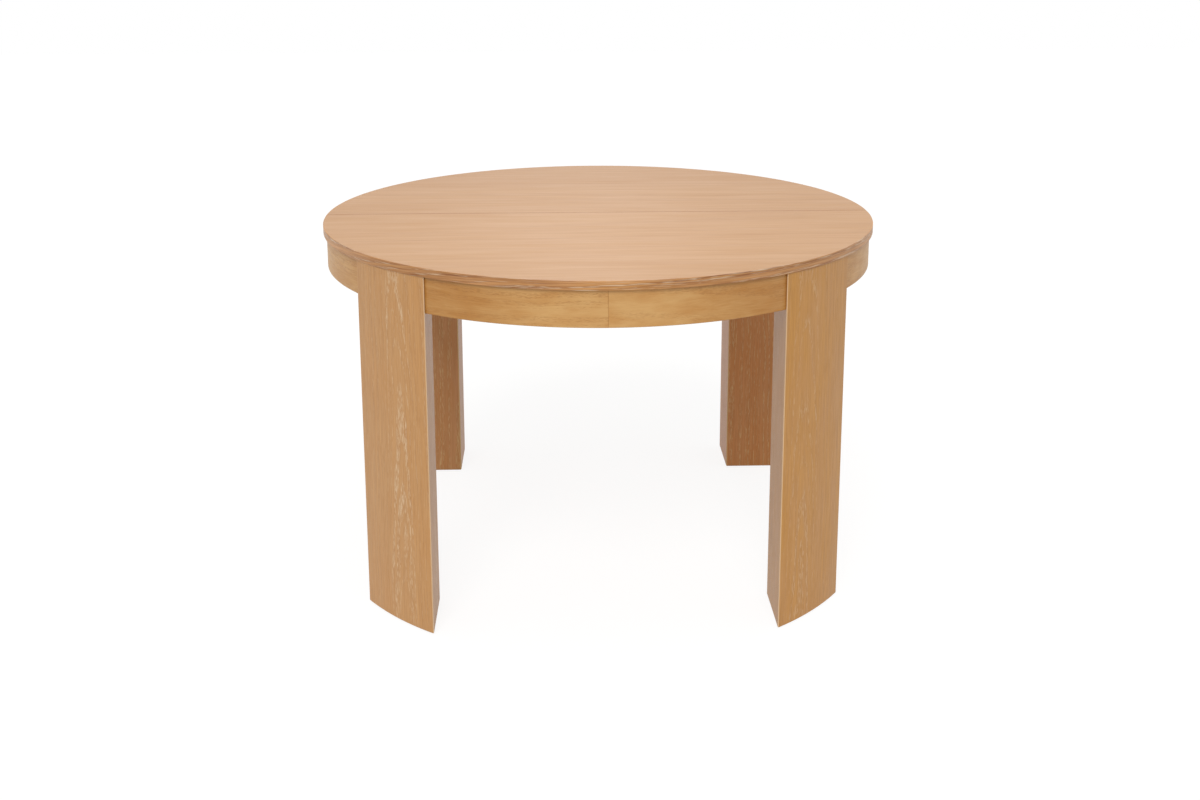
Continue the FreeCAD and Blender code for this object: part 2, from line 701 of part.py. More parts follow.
def rack_solid():
    """Rack of the outer right rail. A gap between teeth faces the pinion at the seam."""
    spare = int(round(size["rack_spare_teeth"].value))
    first = -spare
    last = int(math.ceil(size["slide_travel"].value / tooth_pitch)) + spare
    pitch_x = pinion_x.value + pitch_radius.value
    tip_x = pitch_x - module
    root_x = pitch_x + dedendum.value
    tip_half = tooth_pitch / 4 - play_half - module * math.tan(slope)
    root_half = tooth_pitch / 4 - play_half + dedendum.value * math.tan(slope)
    back_x = outer_rail[0].value + rack_slot_depth.value
    floor = rack_slot[0].value
    points = [Vector(back_x, first * tooth_pitch, floor), Vector(root_x, first * tooth_pitch, floor)]
    for tooth in range(first, last):
        middle = (tooth + 0.5) * tooth_pitch
        points.append(Vector(root_x, middle - root_half, floor))
        points.append(Vector(tip_x, middle - tip_half, floor))
        points.append(Vector(tip_x, middle + tip_half, floor))
        points.append(Vector(root_x, middle + root_half, floor))
    points += [Vector(root_x, last * tooth_pitch, floor), Vector(back_x, last * tooth_pitch, floor)]
    face = Part.Face(Part.makePolygon(points + points[:1]))
    return face.extrude(UP * (rack_slot[1].value - rack_slot[0].value))


outer_rack = doc.addObject("Part::Feature", "OuterRack")
outer_rack.Shape = rack_solid()
inner_rack = doc.addObject("Part::Feature", "InnerRack")
inner_rack.Shape = rack_solid()
inner_rack.Placement = Placement(Vector(pinion_x.value * 2, 0, 0), Rotation(UP, 180))
for side, x in (("left", -pinion_x), ("right", pinion_x)):
    pinion = doc.addObject("Part::Feature", "Pinion")
    pinion.Shape = pinion_solid(x)
    piece("pinion_" + side, pinion)

# Screws that hold each moving rail under its own half.
screw_reach = (rail_half + size["rail_screw_seam_space"]) / 2
rail_screw_places = [size["rail_screw_seam_space"], screw_reach, rail_half - size["rail_screw_seam_space"]]
outer_screw_x = outer_rail[1] - size["rail_screw_inset"]
inner_screw_x = inner_rail[0] + size["rail_screw_inset"]
outer_rail_screws = [wood_screw(outer_screw_x, -y, cleat_bottom) for y in rail_screw_places]
inner_rail_screws = [wood_screw(inner_screw_x, y, cleat_bottom) for y in rail_screw_places]
outer_sinks = [rod(outer_screw_x, -y, rail_bottom, cleat_bottom - rail_bottom, size["screw_head_diameter"])
               for y in rail_screw_places]
inner_sinks = [rod(inner_screw_x, y, rail_bottom, cleat_bottom - rail_bottom, size["screw_head_diameter"])
               for y in rail_screw_places]
outer_slide = cut(outer_rail_bar, [outer_relief, outer_stop] + outer_rail_screws + outer_sinks)
inner_slide = cut(inner_rail_bar, [inner_relief, inner_stop] + inner_rail_screws + inner_sinks)
for side in SIDES:
    piece("front_slide_rail_" + side, reflect(outer_slide, side, "back"))
    piece("back_slide_rail_" + side, reflect(inner_slide, side, "back"))
piece("front_racks", cluster([reflect(outer_rack, side, "back") for side in SIDES]))
piece("back_racks", cluster([reflect(inner_rack, side, "back") for side in SIDES]))
piece("front_stop_pins", cluster([reflect(outer_stop, side, "back") for side in SIDES]))
piece("back_stop_pins", cluster([reflect(inner_stop, side, "back") for side in SIDES]))

# Centre frame: the two middle rails, tied by cross bars that also carry the folded leaf.
bearer_bottom = middle_rail_bottom - size["bearer_thickness"]
bearer_half = size["bearer_width"] / 2
outer_bearer = rail_half - size["bearer_end_inset"] - bearer_half
inner_bearer = outer_bearer - size["bearer_spacing"]
bearer_places = [-outer_bearer, -inner_bearer, inner_bearer, outer_bearer]
bearer_screws = []
bearers = []
for y in bearer_places:
    pair = [wood_screw(x, y, bearer_bottom) for x in (-pinion_x, pinion_x)]
    bar = block(-middle_rail[1], middle_rail[1], y - bearer_half, y + bearer_half,
                bearer_bottom, middle_rail_bottom)
    bearers.append(cut(bar, pair))
    bearer_screws += pair
piece("cross_bars", cluster(bearers))
piece("cross_bar_screws", cluster(bearer_screws))
right_screws = bearer_screws[1::2]
middle_slide = cut(middle_rail_bar, [pinion_window, pinion_pin] + short_tongues + right_screws)
for side in SIDES:
    piece("middle_rail_" + side, reflect(middle_slide, side, "back"))
piece("pinion_pins", cluster([reflect(pinion_pin, side, "back") for side in SIDES]))

# Folded leaf: two boards face to face on felt pads, joined at their right-hand ends by
# three barrel hinges. It is as wide as the gap that it fills.
leaf_half_width = size["slide_travel"] - half_seam
leaf_floor = middle_rail_bottom + size["leaf_pad_thickness"]
leaf_fold = leaf_floor + size["top_thickness"]
leaf_ceiling = leaf_fold + size["top_thickness"]
leaf_middles = [(leaf_floor + leaf_fold) / 2, (leaf_fold + leaf_ceiling) / 2]
pads = []
guides = []
PAD_PLACE_SHARE = 0.7
for x_sign in (-1, 1):
    for y in (-inner_bearer, inner_bearer):
        pad_x = leaf_half * PAD_PLACE_SHARE * x_sign
        pads.append(block(pad_x - size["leaf_pad_length"] / 2, pad_x + size["leaf_pad_length"] / 2,
                          y - size["leaf_pad_width"] / 2, y + size["leaf_pad_width"] / 2,
                          middle_rail_bottom, leaf_floor))
for y in (-inner_bearer, inner_bearer):
    guides.append(block(guide_face, guide_face + size["leaf_guide_width"],
                        y - size["leaf_guide_length"] / 2, y + size["leaf_guide_length"] / 2,
                        middle_rail_bottom, middle_rail_bottom + size["leaf_guide_height"]))
guides += [mirror(item, ACROSS) for item in guides]
piece("leaf_pads", cluster(pads))
piece("leaf_guides", cluster(guides))

barrel = size["hinge_barrel_diameter"]
hinge_places = [-size["hinge_spacing"], ZERO, size["hinge_spacing"]]
hinge_parts = []
hinge_barrels = [[], []]
for y in hinge_places:
    for level, middle in enumerate(leaf_middles):
        item = rod(leaf_half - size["hinge_barrel_length"], y, middle,
                   size["hinge_barrel_length"], barrel, ACROSS)
        hinge_barrels[level].append(item)
        hinge_parts.append(item)
    link_half = size["hinge_link_width"] / 2
    hinge_parts.append(block(leaf_half, leaf_half + size["hinge_link_thickness"],
                             y - link_half, y + link_half,
                             leaf_middles[0] - link_half, leaf_middles[1] + link_half))
piece("leaf_hinges", cluster(hinge_parts))

# Seam pins and sockets. The front half and the leaf carry pins on their back edges, and
# the leaf and the back half carry sockets in their front edges.
pin_diameter = size["seam_pin_diameter"]
socket_hole = pin_diameter + size["socket_clearance"] * 2
socket_outer = socket_hole + size["socket_wall"] * 2
socket_depth = size["seam_pin_reach"] + size["socket_spare"]


def seam_pin(x, edge, z):
    return rod(x, edge - size["seam_pin_seat"], z, size["seam_pin_seat"] + size["seam_pin_reach"],
               pin_diameter, ALONG)


def seam_socket(x, edge, z):
    """A tube let into the edge, and the whole bore that the board needs for it."""
    bore = rod(x, edge, z, socket_depth, socket_outer, ALONG)
    hole = rod(x, edge, z, socket_depth, socket_hole, ALONG)
    return cut(bore, [hole]), bore


seam_middle = (underside + table_height) / 2
inner_pin = size["seam_pin_inner"]
outer_pin = size["seam_pin_outer"]
seam_places = [-outer_pin, -inner_pin, inner_pin, outer_pin]
seam_pins = [seam_pin(x, -half_seam, seam_middle) for x in seam_places]
sockets = [seam_socket(x, half_seam, seam_middle) for x in seam_places]
piece("front_seam_pins", cluster(seam_pins))
piece("back_seam_sockets", cluster([tube for tube, bore in sockets]))

leaf_pins = [[], []]
leaf_sockets = [[], []]
leaf_pin_places = [leaf_half - inner_pin, leaf_half - outer_pin]
for level, middle in enumerate(leaf_middles):
    for x in leaf_pin_places:
        leaf_pins[level].append(seam_pin(x, leaf_half_width, middle))
        leaf_sockets[level].append(seam_socket(x, -leaf_half_width, middle))
piece("leaf_seam_pins", cluster(leaf_pins[0] + leaf_pins[1]))
piece("leaf_seam_sockets", cluster([tube for tube, bore in leaf_sockets[0] + leaf_sockets[1]]))
for level, name in enumerate(("leaf_panel_lower", "leaf_panel_upper")):
    floor = (leaf_floor, leaf_fold)[level]
    ceiling = (leaf_fold, leaf_ceiling)[level]
    panel = block(-leaf_half, leaf_half, -leaf_half_width, leaf_half_width, floor, ceiling)
    bores = [bore for tube, bore in leaf_sockets[level]]
    piece(name, cut(panel, hinge_barrels[level] + leaf_pins[level] + bores))

# Latches under the seam: a lever on the front half hooks a pin on the back half. They are
# drawn parked, with the lever turned away from the seam.
head_reach = size["latch_reach"] + size["lever_head_length"] / 2
latch_x = outer_rail[1] + size["latch_space"] + head_reach
pivot_y = -size["latch_pivot_setback"]
keeper_y = pivot_y + size["latch_reach"]
plate_bottom = underside - size["latch_plate_thickness"]
lever_top = plate_bottom - size["latch_clearance"]
lever_bottom = lever_top - size["lever_thickness"]
plate_half = size["latch_plate_width"] / 2
plate_edge = -size["latch_plate_setback"]
plate_far = plate_edge - size["latch_plate_length"]
plate_inset = size["plate_screw_inset"]
rivet = fuse([
    rod(latch_x, pivot_y, lever_bottom - size["latch_clearance"] - size["rivet_head_height"],
        size["rivet_head_height"], size["rivet_head_diameter"]),
    rod(latch_x, pivot_y, lever_bottom - size["latch_clearance"],
        underside - lever_bottom + size["latch_clearance"], size["rivet_diameter"]),
])
latch_screws = []
for x in (latch_x - plate_half + plate_inset, latch_x + plate_half - plate_inset):
    for y in (plate_edge - plate_inset, plate_far + plate_inset):
        latch_screws.append(plate_screw(x, y, plate_bottom))
latch_plate = cut(block(latch_x - plate_half, latch_x + plate_half, plate_far, plate_edge,
                        plate_bottom, underside), [rivet] + latch_screws)
keeper_near = size["latch_plate_setback"]
keeper_far = keeper_near + size["keeper_plate_length"]
keeper_screws = []
for x in (latch_x - plate_half + plate_inset, latch_x + plate_half - plate_inset):
    for y in (keeper_near + plate_inset, keeper_far - plate_inset):
        keeper_screws.append(plate_screw(x, y, plate_bottom))
keeper_pin = rod(latch_x, keeper_y, plate_bottom - size["keeper_pin_length"],
                 size["keeper_pin_length"] + size["latch_plate_thickness"], size["keeper_pin_diameter"])
keeper = cut(block(latch_x - plate_half, latch_x + plate_half, keeper_near, keeper_far,
                   plate_bottom, underside), [keeper_pin] + keeper_screws)

hook_x = latch_x - size["latch_reach"]
hook_gap = size["keeper_pin_diameter"] / 2 + size["keeper_clearance"]
arm_half = size["lever_width"] / 2
head_half = size["lever_head_width"] / 2
lever_blank = fuse([
    rod(latch_x, pivot_y, lever_bottom, size["lever_thickness"], size["lever_hub_diameter"]),
    block(hook_x, latch_x, pivot_y - arm_half, pivot_y + arm_half, lever_bottom, lever_top),
    block(hook_x - size["lever_head_length"] / 2, hook_x + size["lever_head_length"] / 2,
          pivot_y - head_half, pivot_y + head_half, lever_bottom, lever_top),
    rod((hook_x + size["lever_head_length"] / 2 + latch_x) / 2, pivot_y,
        lever_bottom - size["knob_height"], size["knob_height"], size["knob_diameter"]),
])
hook_slot = common([
    ring(size["latch_reach"] + hook_gap, size["latch_reach"] - hook_gap,
         lever_bottom, lever_top, latch_x, pivot_y),
    block(hook_x - size["lever_head_length"], latch_x, pivot_y - hook_gap, pivot_y + head_half * 2,
          lever_bottom, lever_top),
])
lever_bore = rod(latch_x, pivot_y, lever_bottom, size["lever_thickness"],
                 size["rivet_diameter"] + size["running_clearance"] * 2)
lever = cut(lever_blank, [hook_slot, lever_bore])
for side in SIDES:
    piece("latch_lever_" + side, reflect(lever, side, "back"))
piece("latch_plates", cluster([reflect(latch_plate, side, "back") for side in SIDES]))
piece("latch_rivets", cluster([reflect(rivet, side, "back") for side in SIDES]))
piece("latch_keepers", cluster([reflect(keeper, side, "back") for side in SIDES]))
piece("keeper_pins", cluster([reflect(keeper_pin, side, "back") for side in SIDES]))
latch_plate_screws = [reflect(item, side, "back") for side in SIDES for item in latch_screws]
keeper_plate_screws = [reflect(item, side, "back") for side in SIDES for item in keeper_screws]
piece("latch_plate_screws", cluster(latch_plate_screws))
piece("keeper_plate_screws", cluster(keeper_plate_screws))

# The screws of each half, and the half tops that they and the seam fittings go into.
end_parts = {
    "front": (outer_rail_screws, seam_pins, latch_plate_screws),
    "back": (inner_rail_screws, [bore for tube, bore in sockets], keeper_plate_screws),
}
for end, (rail_screws, seam_fittings, small_screws) in end_parts.items():
    screws = [reflect(item, side, end) for side in SIDES for item in cleat_screws + side_block_screws]
    screws += [reflect(item, "right", end) for item in middle_block_screws]
    screws += [reflect(item, side, "back") for side in SIDES for item in rail_screws]
    piece(end + "_top_screws", cluster(screws))
    half = reflect(board, "right", end)
    piece(end + "_top_half", cut(half, screws + seam_fittings + small_screws))
    piece(end + "_top_edging", reflect(edging, "right", end))

doc.recompute()

for item in doc.Objects:
    if "Invalid" in item.State or "Error" in item.State:
        raise RuntimeError(item.Name + " (" + item.Label + ") failed: " + str(item.State))
for name, item in sorted(pieces.items()):
    if item.Shape.isNull() or not item.Shape.isValid():
        raise RuntimeError(name + " has no valid shape")
    if not item.Shape.Solids:
        raise RuntimeError(name + " holds no solid")

os.makedirs("parts", exist_ok=True)
for name, item in sorted(pieces.items()):
    item.Shape.exportStep("parts/" + name + ".step")
    print(name, len(item.Shape.Solids), "solids", round(item.Shape.Volume / 1000, 1), "cm3")
print(len(pieces), "pieces")
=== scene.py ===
import math

import bmesh
import bpy
from mathutils import Matrix, Vector


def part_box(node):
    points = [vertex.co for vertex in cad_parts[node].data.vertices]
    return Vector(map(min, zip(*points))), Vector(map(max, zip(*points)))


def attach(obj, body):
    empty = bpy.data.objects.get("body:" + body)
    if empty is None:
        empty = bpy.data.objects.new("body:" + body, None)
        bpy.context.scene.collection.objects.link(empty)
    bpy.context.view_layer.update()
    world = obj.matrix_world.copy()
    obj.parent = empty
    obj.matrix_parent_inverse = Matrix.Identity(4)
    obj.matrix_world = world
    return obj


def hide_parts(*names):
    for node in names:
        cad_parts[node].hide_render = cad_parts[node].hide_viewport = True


MM = 0.001
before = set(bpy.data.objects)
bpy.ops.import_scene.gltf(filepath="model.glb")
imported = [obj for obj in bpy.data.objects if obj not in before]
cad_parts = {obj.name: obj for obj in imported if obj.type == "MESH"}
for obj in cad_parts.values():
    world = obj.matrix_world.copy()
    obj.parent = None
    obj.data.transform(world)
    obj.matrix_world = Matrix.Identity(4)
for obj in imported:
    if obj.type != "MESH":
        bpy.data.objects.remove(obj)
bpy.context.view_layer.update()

# Camera. It stands a little left of the table's middle, 1.4 m above the floor, and looks
# slightly down. The lens shift gives the photograph's framing.
image_width = 1200
image_height = 800
lens_pixels = 1374.5
lens_centre = (594.7, 214.4)
sensor_width = 36
camera_place = (-0.0948, -2.9883, 1.3802)
camera_yaw = -1.68
camera_pitch = 11.99
camera_roll = -0.14

bpy.ops.object.select_all(action="DESELECT")
bpy.ops.object.camera_add()
camera = bpy.context.object
camera.data.sensor_width = sensor_width
camera.data.lens = lens_pixels / image_width * sensor_width
camera.data.shift_x = (image_width / 2 - lens_centre[0]) / image_width
camera.data.shift_y = (lens_centre[1] - image_height / 2) / image_width
camera.matrix_world = (
    Matrix.Translation(camera_place)
    @ Matrix.Rotation(math.radians(camera_yaw), 4, "Z")
    @ Matrix.Rotation(math.radians(90 - camera_pitch), 4, "X")
    @ Matrix.Rotation(math.radians(camera_roll), 4, "Z")
)
bpy.context.scene.camera = camera
bpy.context.scene.view_settings.view_transform = "Standard"


# Floor. A pale studio floor that reads as white in the picture and keeps a faint part of
# the table's soft shadow.
def colour(code):
    """Linear colour of an sRGB hex value."""
    parts = [int(code[i:i + 2], 16) / 255 for i in (1, 3, 5)]
    linear = [p / 12.92 if p <= 0.04045 else ((p + 0.055) / 1.055) ** 2.4 for p in parts]
    return (*linear, 1)


def new_material(name):
    """A material without any nodes yet."""
    material = bpy.data.materials.new(name)
    material.use_nodes = True
    material.node_tree.nodes.clear()
    return material


def add(owner, kind, inputs=None, **settings):
    """One shader node with its settings, and for each input a value or a link."""
    node = owner.node_tree.nodes.new("ShaderNode" + kind)
    for name, value in settings.items():
        setattr(node, name, value)
    for socket, value in (inputs or {}).items():
        if isinstance(value, bpy.types.Node):
            value = value.outputs[0]
        if isinstance(value, bpy.types.NodeSocket):
            owner.node_tree.links.new(value, node.inputs[socket])
        else:
            node.inputs[socket].default_value = value
    return node


def seen_as_backdrop(owner):
    """1 for rays that show the backdrop as white: those of the picture, gloss and glass."""
    rays = add(owner, "LightPath").outputs
    seen = add(owner, "Math", {0: rays["Is Camera Ray"], 1: rays["Is Glossy Ray"]},
               operation="MAXIMUM")
    return add(owner, "Math", {0: seen, 1: rays["Is Transmission Ray"]}, operation="MAXIMUM")


floor_size = 24
floor_grey = "#E2E0DE"
floor_glow = 1.12
floor_glow_share = 0.78

bpy.ops.mesh.primitive_plane_add(size=floor_size)
floor = bpy.context.object
floor.name = "studio_floor"
floor_paint = new_material("studio_floor_paint")
matt = add(floor_paint, "BsdfDiffuse", {"Color": colour(floor_grey)})
glow = add(floor_paint, "Emission", {"Strength": floor_glow})
share = add(floor_paint, "Math", {0: seen_as_backdrop(floor_paint), 1: floor_glow_share},
            operation="MULTIPLY")
surface = add(floor_paint, "MixShader", {0: share, 1: matt, 2: glow})
add(floor_paint, "OutputMaterial", {"Surface": surface})
floor.data.materials.append(floor_paint)

# Light. A white surround gives the soft level from all sides, a wide lamp from the front
# lights the legs and aprons, a soft box over the near edge lifts the middle of the top, and
# one behind the table lays a soft sheen over it.
surround_level = 0.58
key_level = 1.64
key_elevation = 42
key_azimuth = -9
key_softness = 32
soft_boxes = {
    "top_box": ((0, -0.5, 2.2), 0, 0.9, 7),
    "sheen_box": ((0, 2.4, 2.0), -62, 0.8, 2.2),
}

world = bpy.data.worlds.new("studio_surround")
bpy.context.scene.world = world
world.use_nodes = True
world.node_tree.nodes.clear()
level = add(world, "MapRange", {"Value": seen_as_backdrop(world), "To Min": surround_level})
surround = add(world, "Background", {"Color": colour("#FFFFFF"), "Strength": level})
add(world, "OutputWorld", {"Surface": surround})

bpy.ops.object.light_add(type="SUN")
key_lamp = bpy.context.object
key_lamp.name = "key_lamp"
key_lamp.data.energy = key_level
key_lamp.data.angle = math.radians(key_softness)
key_lamp.matrix_world = (
    Matrix.Rotation(math.radians(key_azimuth), 4, "Z")
    @ Matrix.Rotation(math.radians(90 - key_elevation), 4, "X")
)
for name, (place, tilt, size, power) in soft_boxes.items():
    bpy.ops.object.light_add(type="AREA", location=place, rotation=(math.radians(tilt), 0, 0))
    soft_box = bpy.context.object
    soft_box.name = name
    soft_box.data.size = size
    soft_box.data.energy = power


# Half tops. Boards faced with oak veneer in strips laid side by side along the seam. Each
# strip has its own figure and tone, and the cut edges at the seam are a little darker. The
# folded leaf's boards are cut from the same stock.
def oak(material, grain, pale, deep, warm, lime, ring=6, pith=30, lean=0.03, sway=14,
        ring_depth=0.3, fibre=(2.4, 110), fibre_depth=0.4, cloud=(34, 190), cloud_depth=0.7,
        pore=(1.7, 26), pore_level=0.54, lime_depth=0.5, heart=45, tone=None, edge=None,
        roughness=0.42):
    """Oak cut lengthwise from a log, from its grain place: across, into the wood, along (metres).

    Rings round a pith behind the face give arched grain, and warm clouds drift over it. The
    open pores of the early wood, drawn coarser than life so that they show, hold a paler or
    darker filler under a satin lacquer.
    """
    drift_rate = (9, 9, 2.4)
    pore_softness = 0.14
    lime_off_heart = 0.25
    lime_in_late_wood = 0.08
    pore_height = -0.6
    fibre_height = 0.3
    dulling = 0.08
    lacquer_ior = 1.5

    drift = add(material, "VectorMath", {0: grain, 1: drift_rate}, operation="MULTIPLY")
    drift = add(material, "TexNoise", {"Vector": drift, "Scale": 1, "Detail": 3,
                                       "Roughness": 0.55})
    drift = add(material, "VectorMath", {0: drift.outputs["Color"], 1: (0.5, 0.5, 0.5)},
                operation="SUBTRACT")
    grain = add(material, "VectorMath",
                {0: drift, 1: (2 * sway * MM, 2 * sway * MM, 0), 2: grain},
                operation="MULTIPLY_ADD")
    across, into, along = add(material, "SeparateXYZ", {0: grain}).outputs
    into = add(material, "Math", {0: into, 1: pith * MM}, operation="ADD")
    into = add(material, "Math", {0: along, 1: lean, 2: into}, operation="MULTIPLY_ADD")
    radius = add(material, "VectorMath", {0: add(material, "CombineXYZ", {0: across, 1: into})},
                 operation="LENGTH").outputs["Value"]
    turns = add(material, "Math", {0: radius, 1: 1 / (ring * MM)}, operation="MULTIPLY")
    rings = add(material, "TexNoise", {"W": turns, "Scale": 1, "Detail": 2, "Roughness": 0.6},
                noise_dimensions="1D")
    rings = add(material, "MapRange", {"Value": rings, "From Min": 0.36, "From Max": 0.66},
                interpolation_type="SMOOTHSTEP")

    noises = []
    for (width, length), detail in ((fibre, 3), (pore, 1), (cloud, 2)):
        rate = [1 / (size * MM) for size in (width, width, length)]
        cells = add(material, "VectorMath", {0: grain, 1: rate}, operation="MULTIPLY")
        noises.append(add(material, "TexNoise", {"Vector": cells, "Scale": 1, "Detail": detail,
                                                 "Roughness": 0.6}))
    fibres = add(material, "MapRange", {"Value": noises[0], "From Min": 0.32, "From Max": 0.68})
    pores = add(material, "MapRange", {"Value": noises[1], "From Min": pore_level,
                                       "From Max": pore_level + pore_softness},
                interpolation_type="SMOOTHSTEP")
    clouds = add(material, "MapRange", {"Value": noises[2], "From Min": 0.4, "From Max": 0.65,
                                        "To Max": cloud_depth})
    early = add(material, "MapRange", {"Value": rings, "From Min": 0.4, "From Max": 0.95,
                                       "To Min": lime_in_late_wood},
                interpolation_type="SMOOTHSTEP")
    off_heart = add(material, "Math", {0: across}, operation="ABSOLUTE")
    off_heart = add(material, "MapRange", {"Value": off_heart, "From Min": heart * MM / 3,
                                           "From Max": heart * MM, "To Min": 1,
                                           "To Max": lime_off_heart},
                    interpolation_type="SMOOTHSTEP")
    limed = add(material, "Math", {0: pores, 1: early}, operation="MULTIPLY")
    limed = add(material, "Math", {0: limed, 1: off_heart}, operation="MULTIPLY")
    limed = add(material, "Math", {0: limed, 1: lime_depth}, operation="MULTIPLY")
    # The edge mask lays lime colour along the legs' upright edges as a painted highlight.
    if edge is not None:
        limed = add(material, "Math", {0: limed, 1: edge}, operation="MAXIMUM")

    shade = add(material, "Math", {0: fibres, 1: fibre_depth}, operation="MULTIPLY")
    shade = add(material, "Math", {0: rings, 1: ring_depth, 2: shade}, operation="MULTIPLY_ADD")
    # The tone carries random strip tone and the darker seam and joint, and on the edging and
    # aprons also painted highlight, sheen and shade.
    if tone is not None:
        shade = add(material, "Math", {0: shade, 1: tone}, operation="ADD", use_clamp=True)
    wood = colour(pale)
    for factor, code in ((clouds, warm), (shade, deep), (limed, lime)):
        wood = add(material, "Mix", {0: factor, 6: wood, 7: colour(code)},
                   data_type="RGBA").outputs[2]
    gloss = add(material, "MapRange", {"Value": fibres, "To Min": roughness,
                                       "To Max": roughness + dulling})
    height = add(material, "Math", {0: pores, 1: pore_height, 2: fibres},
                 operation="MULTIPLY_ADD")
    bump = add(material, "Bump", {"Strength": 0.25, "Distance": fibre_height * MM,
                                  "Height": height})
    shader = add(material, "BsdfPrincipled", {"Base Color": wood, "Roughness": gloss,
                                              "IOR": lacquer_ior, "Normal": bump})
    add(material, "OutputMaterial", {"Surface": shader})


def finish_nodes(names, material):
    """Give CAD pieces their finish."""
    for name in names:
        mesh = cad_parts[name].data
        mesh.materials.clear()
        mesh.materials.append(material)


strip_width = 150
strip_shift = (0.2, 0.02, 5)
strip_shade = 0.07
seam_width = 3
veneered_boards = {
    "oak_veneer_top": (0.9, ["front_top_half", "back_top_half"]),
    "oak_veneer_leaf": (0, ["leaf_panel_lower", "leaf_panel_upper"]),
}
for name, (seam_shade, nodes) in veneered_boards.items():
    board_oak = new_material(name)
    place = add(board_oak, "TexCoord").outputs["Object"]
    x, y, z = add(board_oak, "SeparateXYZ", {0: place}).outputs
    strip = add(board_oak, "Math", {0: y, 1: 1 / (strip_width * MM)}, operation="MULTIPLY")
    strip = add(board_oak, "Math", {0: strip}, operation="FLOOR")
    lot = add(board_oak, "TexWhiteNoise", {"W": strip}, noise_dimensions="1D")
    grain = add(board_oak, "CombineXYZ", {0: y, 1: z, 2: x})
    grain = add(board_oak, "VectorMath", {0: lot.outputs["Color"], 1: strip_shift, 2: grain},
                operation="MULTIPLY_ADD")
    tone = add(board_oak, "MapRange", {"Value": lot.outputs["Value"], "To Min": -strip_shade,
                                       "To Max": strip_shade})
    if seam_shade:
        off_seam = add(board_oak, "Math", {0: y}, operation="ABSOLUTE")
        seam_tone = add(board_oak, "MapRange", {"Value": off_seam, "From Min": seam_width * MM / 2,
                                                "From Max": seam_width * MM, "To Min": seam_shade,
                                                "To Max": 0})
        tone = add(board_oak, "Math", {0: tone, 1: seam_tone}, operation="ADD")
    oak(board_oak, grain, "#C19467", "#A57243", "#BC8C58", "#94663A", ring=9, pith=60, lean=0.012,
        sway=4, ring_depth=0.16, fibre=(3.6, 190), fibre_depth=0.3, cloud=(40, 300),
        pore=(2.2, 75), pore_level=0.57, lime_depth=0.3, heart=400, tone=tone, roughness=0.4)
    finish_nodes(nodes, board_oak)


# Edging. A solid oak lipping bent round the rim, its grain running round the table. It is
# darker than the veneer. A painted highlight makes it paler in the middle of each half, and a
# painted sheen makes it paler at the sides. Its open pores hold pale lime.
def round_the_table(material, radius, heart_height, right_hand_shift=0):
    """Grain place on a bent piece, in metres: height over the heart, depth, the way round."""
    place = add(material, "TexCoord").outputs["Object"]
    x, y, z = add(material, "SeparateXYZ", {0: place}).outputs
    z = add(material, "Math", {0: z, 1: -heart_height * MM}, operation="ADD")
    turn = add(material, "Math", {0: y, 1: x}, operation="ARCTAN2")
    way = add(material, "Math", {0: turn, 1: radius * MM}, operation="MULTIPLY")
    out = add(material, "VectorMath", {0: add(material, "CombineXYZ", {0: x, 1: y})},
              operation="LENGTH").outputs["Value"]
    out = add(material, "Math", {0: out, 1: -radius * MM}, operation="ADD")
    right_hand = add(material, "Math", {0: x, 1: 0}, operation="GREATER_THAN")
    way = add(material, "Math", {0: right_hand, 1: right_hand_shift, 2: way},
              operation="MULTIPLY_ADD")
    return add(material, "CombineXYZ", {0: z, 1: out, 2: way})


edging_face = 600
edging_heart = 712
# Painted highlight in the middle of each half and painted sheen at the sides: less shade there.
middle_highlight_reach = 35
dark_start = 115
dark_end = 490
side_sheen_reach = 560
painted_middle_highlight = -0.2
dark_shade = 0.1
painted_side_sheen = -0.3
edging_oak = new_material("limed_oak_edging")
place = add(edging_oak, "TexCoord").outputs["Object"]
x = add(edging_oak, "SeparateXYZ", {0: place}).outputs["X"]
off_middle = add(edging_oak, "Math", {0: x}, operation="ABSOLUTE")
middle_highlight_tone = add(edging_oak, "MapRange", {"Value": off_middle, "From Min": middle_highlight_reach * MM,
                                           "From Max": dark_start * MM, "To Min": painted_middle_highlight,
                                           "To Max": dark_shade})
side_sheen_tone = add(edging_oak, "MapRange", {"Value": off_middle, "From Min": dark_end * MM,
                                         "From Max": side_sheen_reach * MM, "To Max": painted_side_sheen})
# The painted highlight and painted sheen together make the edging's tone.
tone = add(edging_oak, "Math", {0: middle_highlight_tone, 1: side_sheen_tone}, operation="ADD")
grain = round_the_table(edging_oak, edging_face, edging_heart)
oak(edging_oak, grain, "#C89159", "#7E4A20", "#BC8544", "#E6CFAE", ring=5, pith=24, lean=0.05,
    sway=9, ring_depth=0.5, fibre_depth=0.4, pore=(1.3, 60), pore_level=0.48, lime_depth=0.55,
    heart=400, tone=tone)
finish_nodes(["front_top_edging", "back_top_edging"], edging_oak)

# Aprons. Bent laminations faced with oak veneer, its grain running round the table. The
# front and the back are each in two lengths that butt in the middle, where the stain has
# darkened the joint. Their unlimed pores are short dark dashes. A painted shade darkens them
# towards the legs, and they are painted a little lighter in the middle.
apron_names = [end + kind + side for end in ("front", "back")
               for kind in ("_apron_", "_side_apron_") for side in ("left", "right")]
apron_face = 593
apron_heart = 600
apron_lot_shift = 7.3
apron_reach = 342
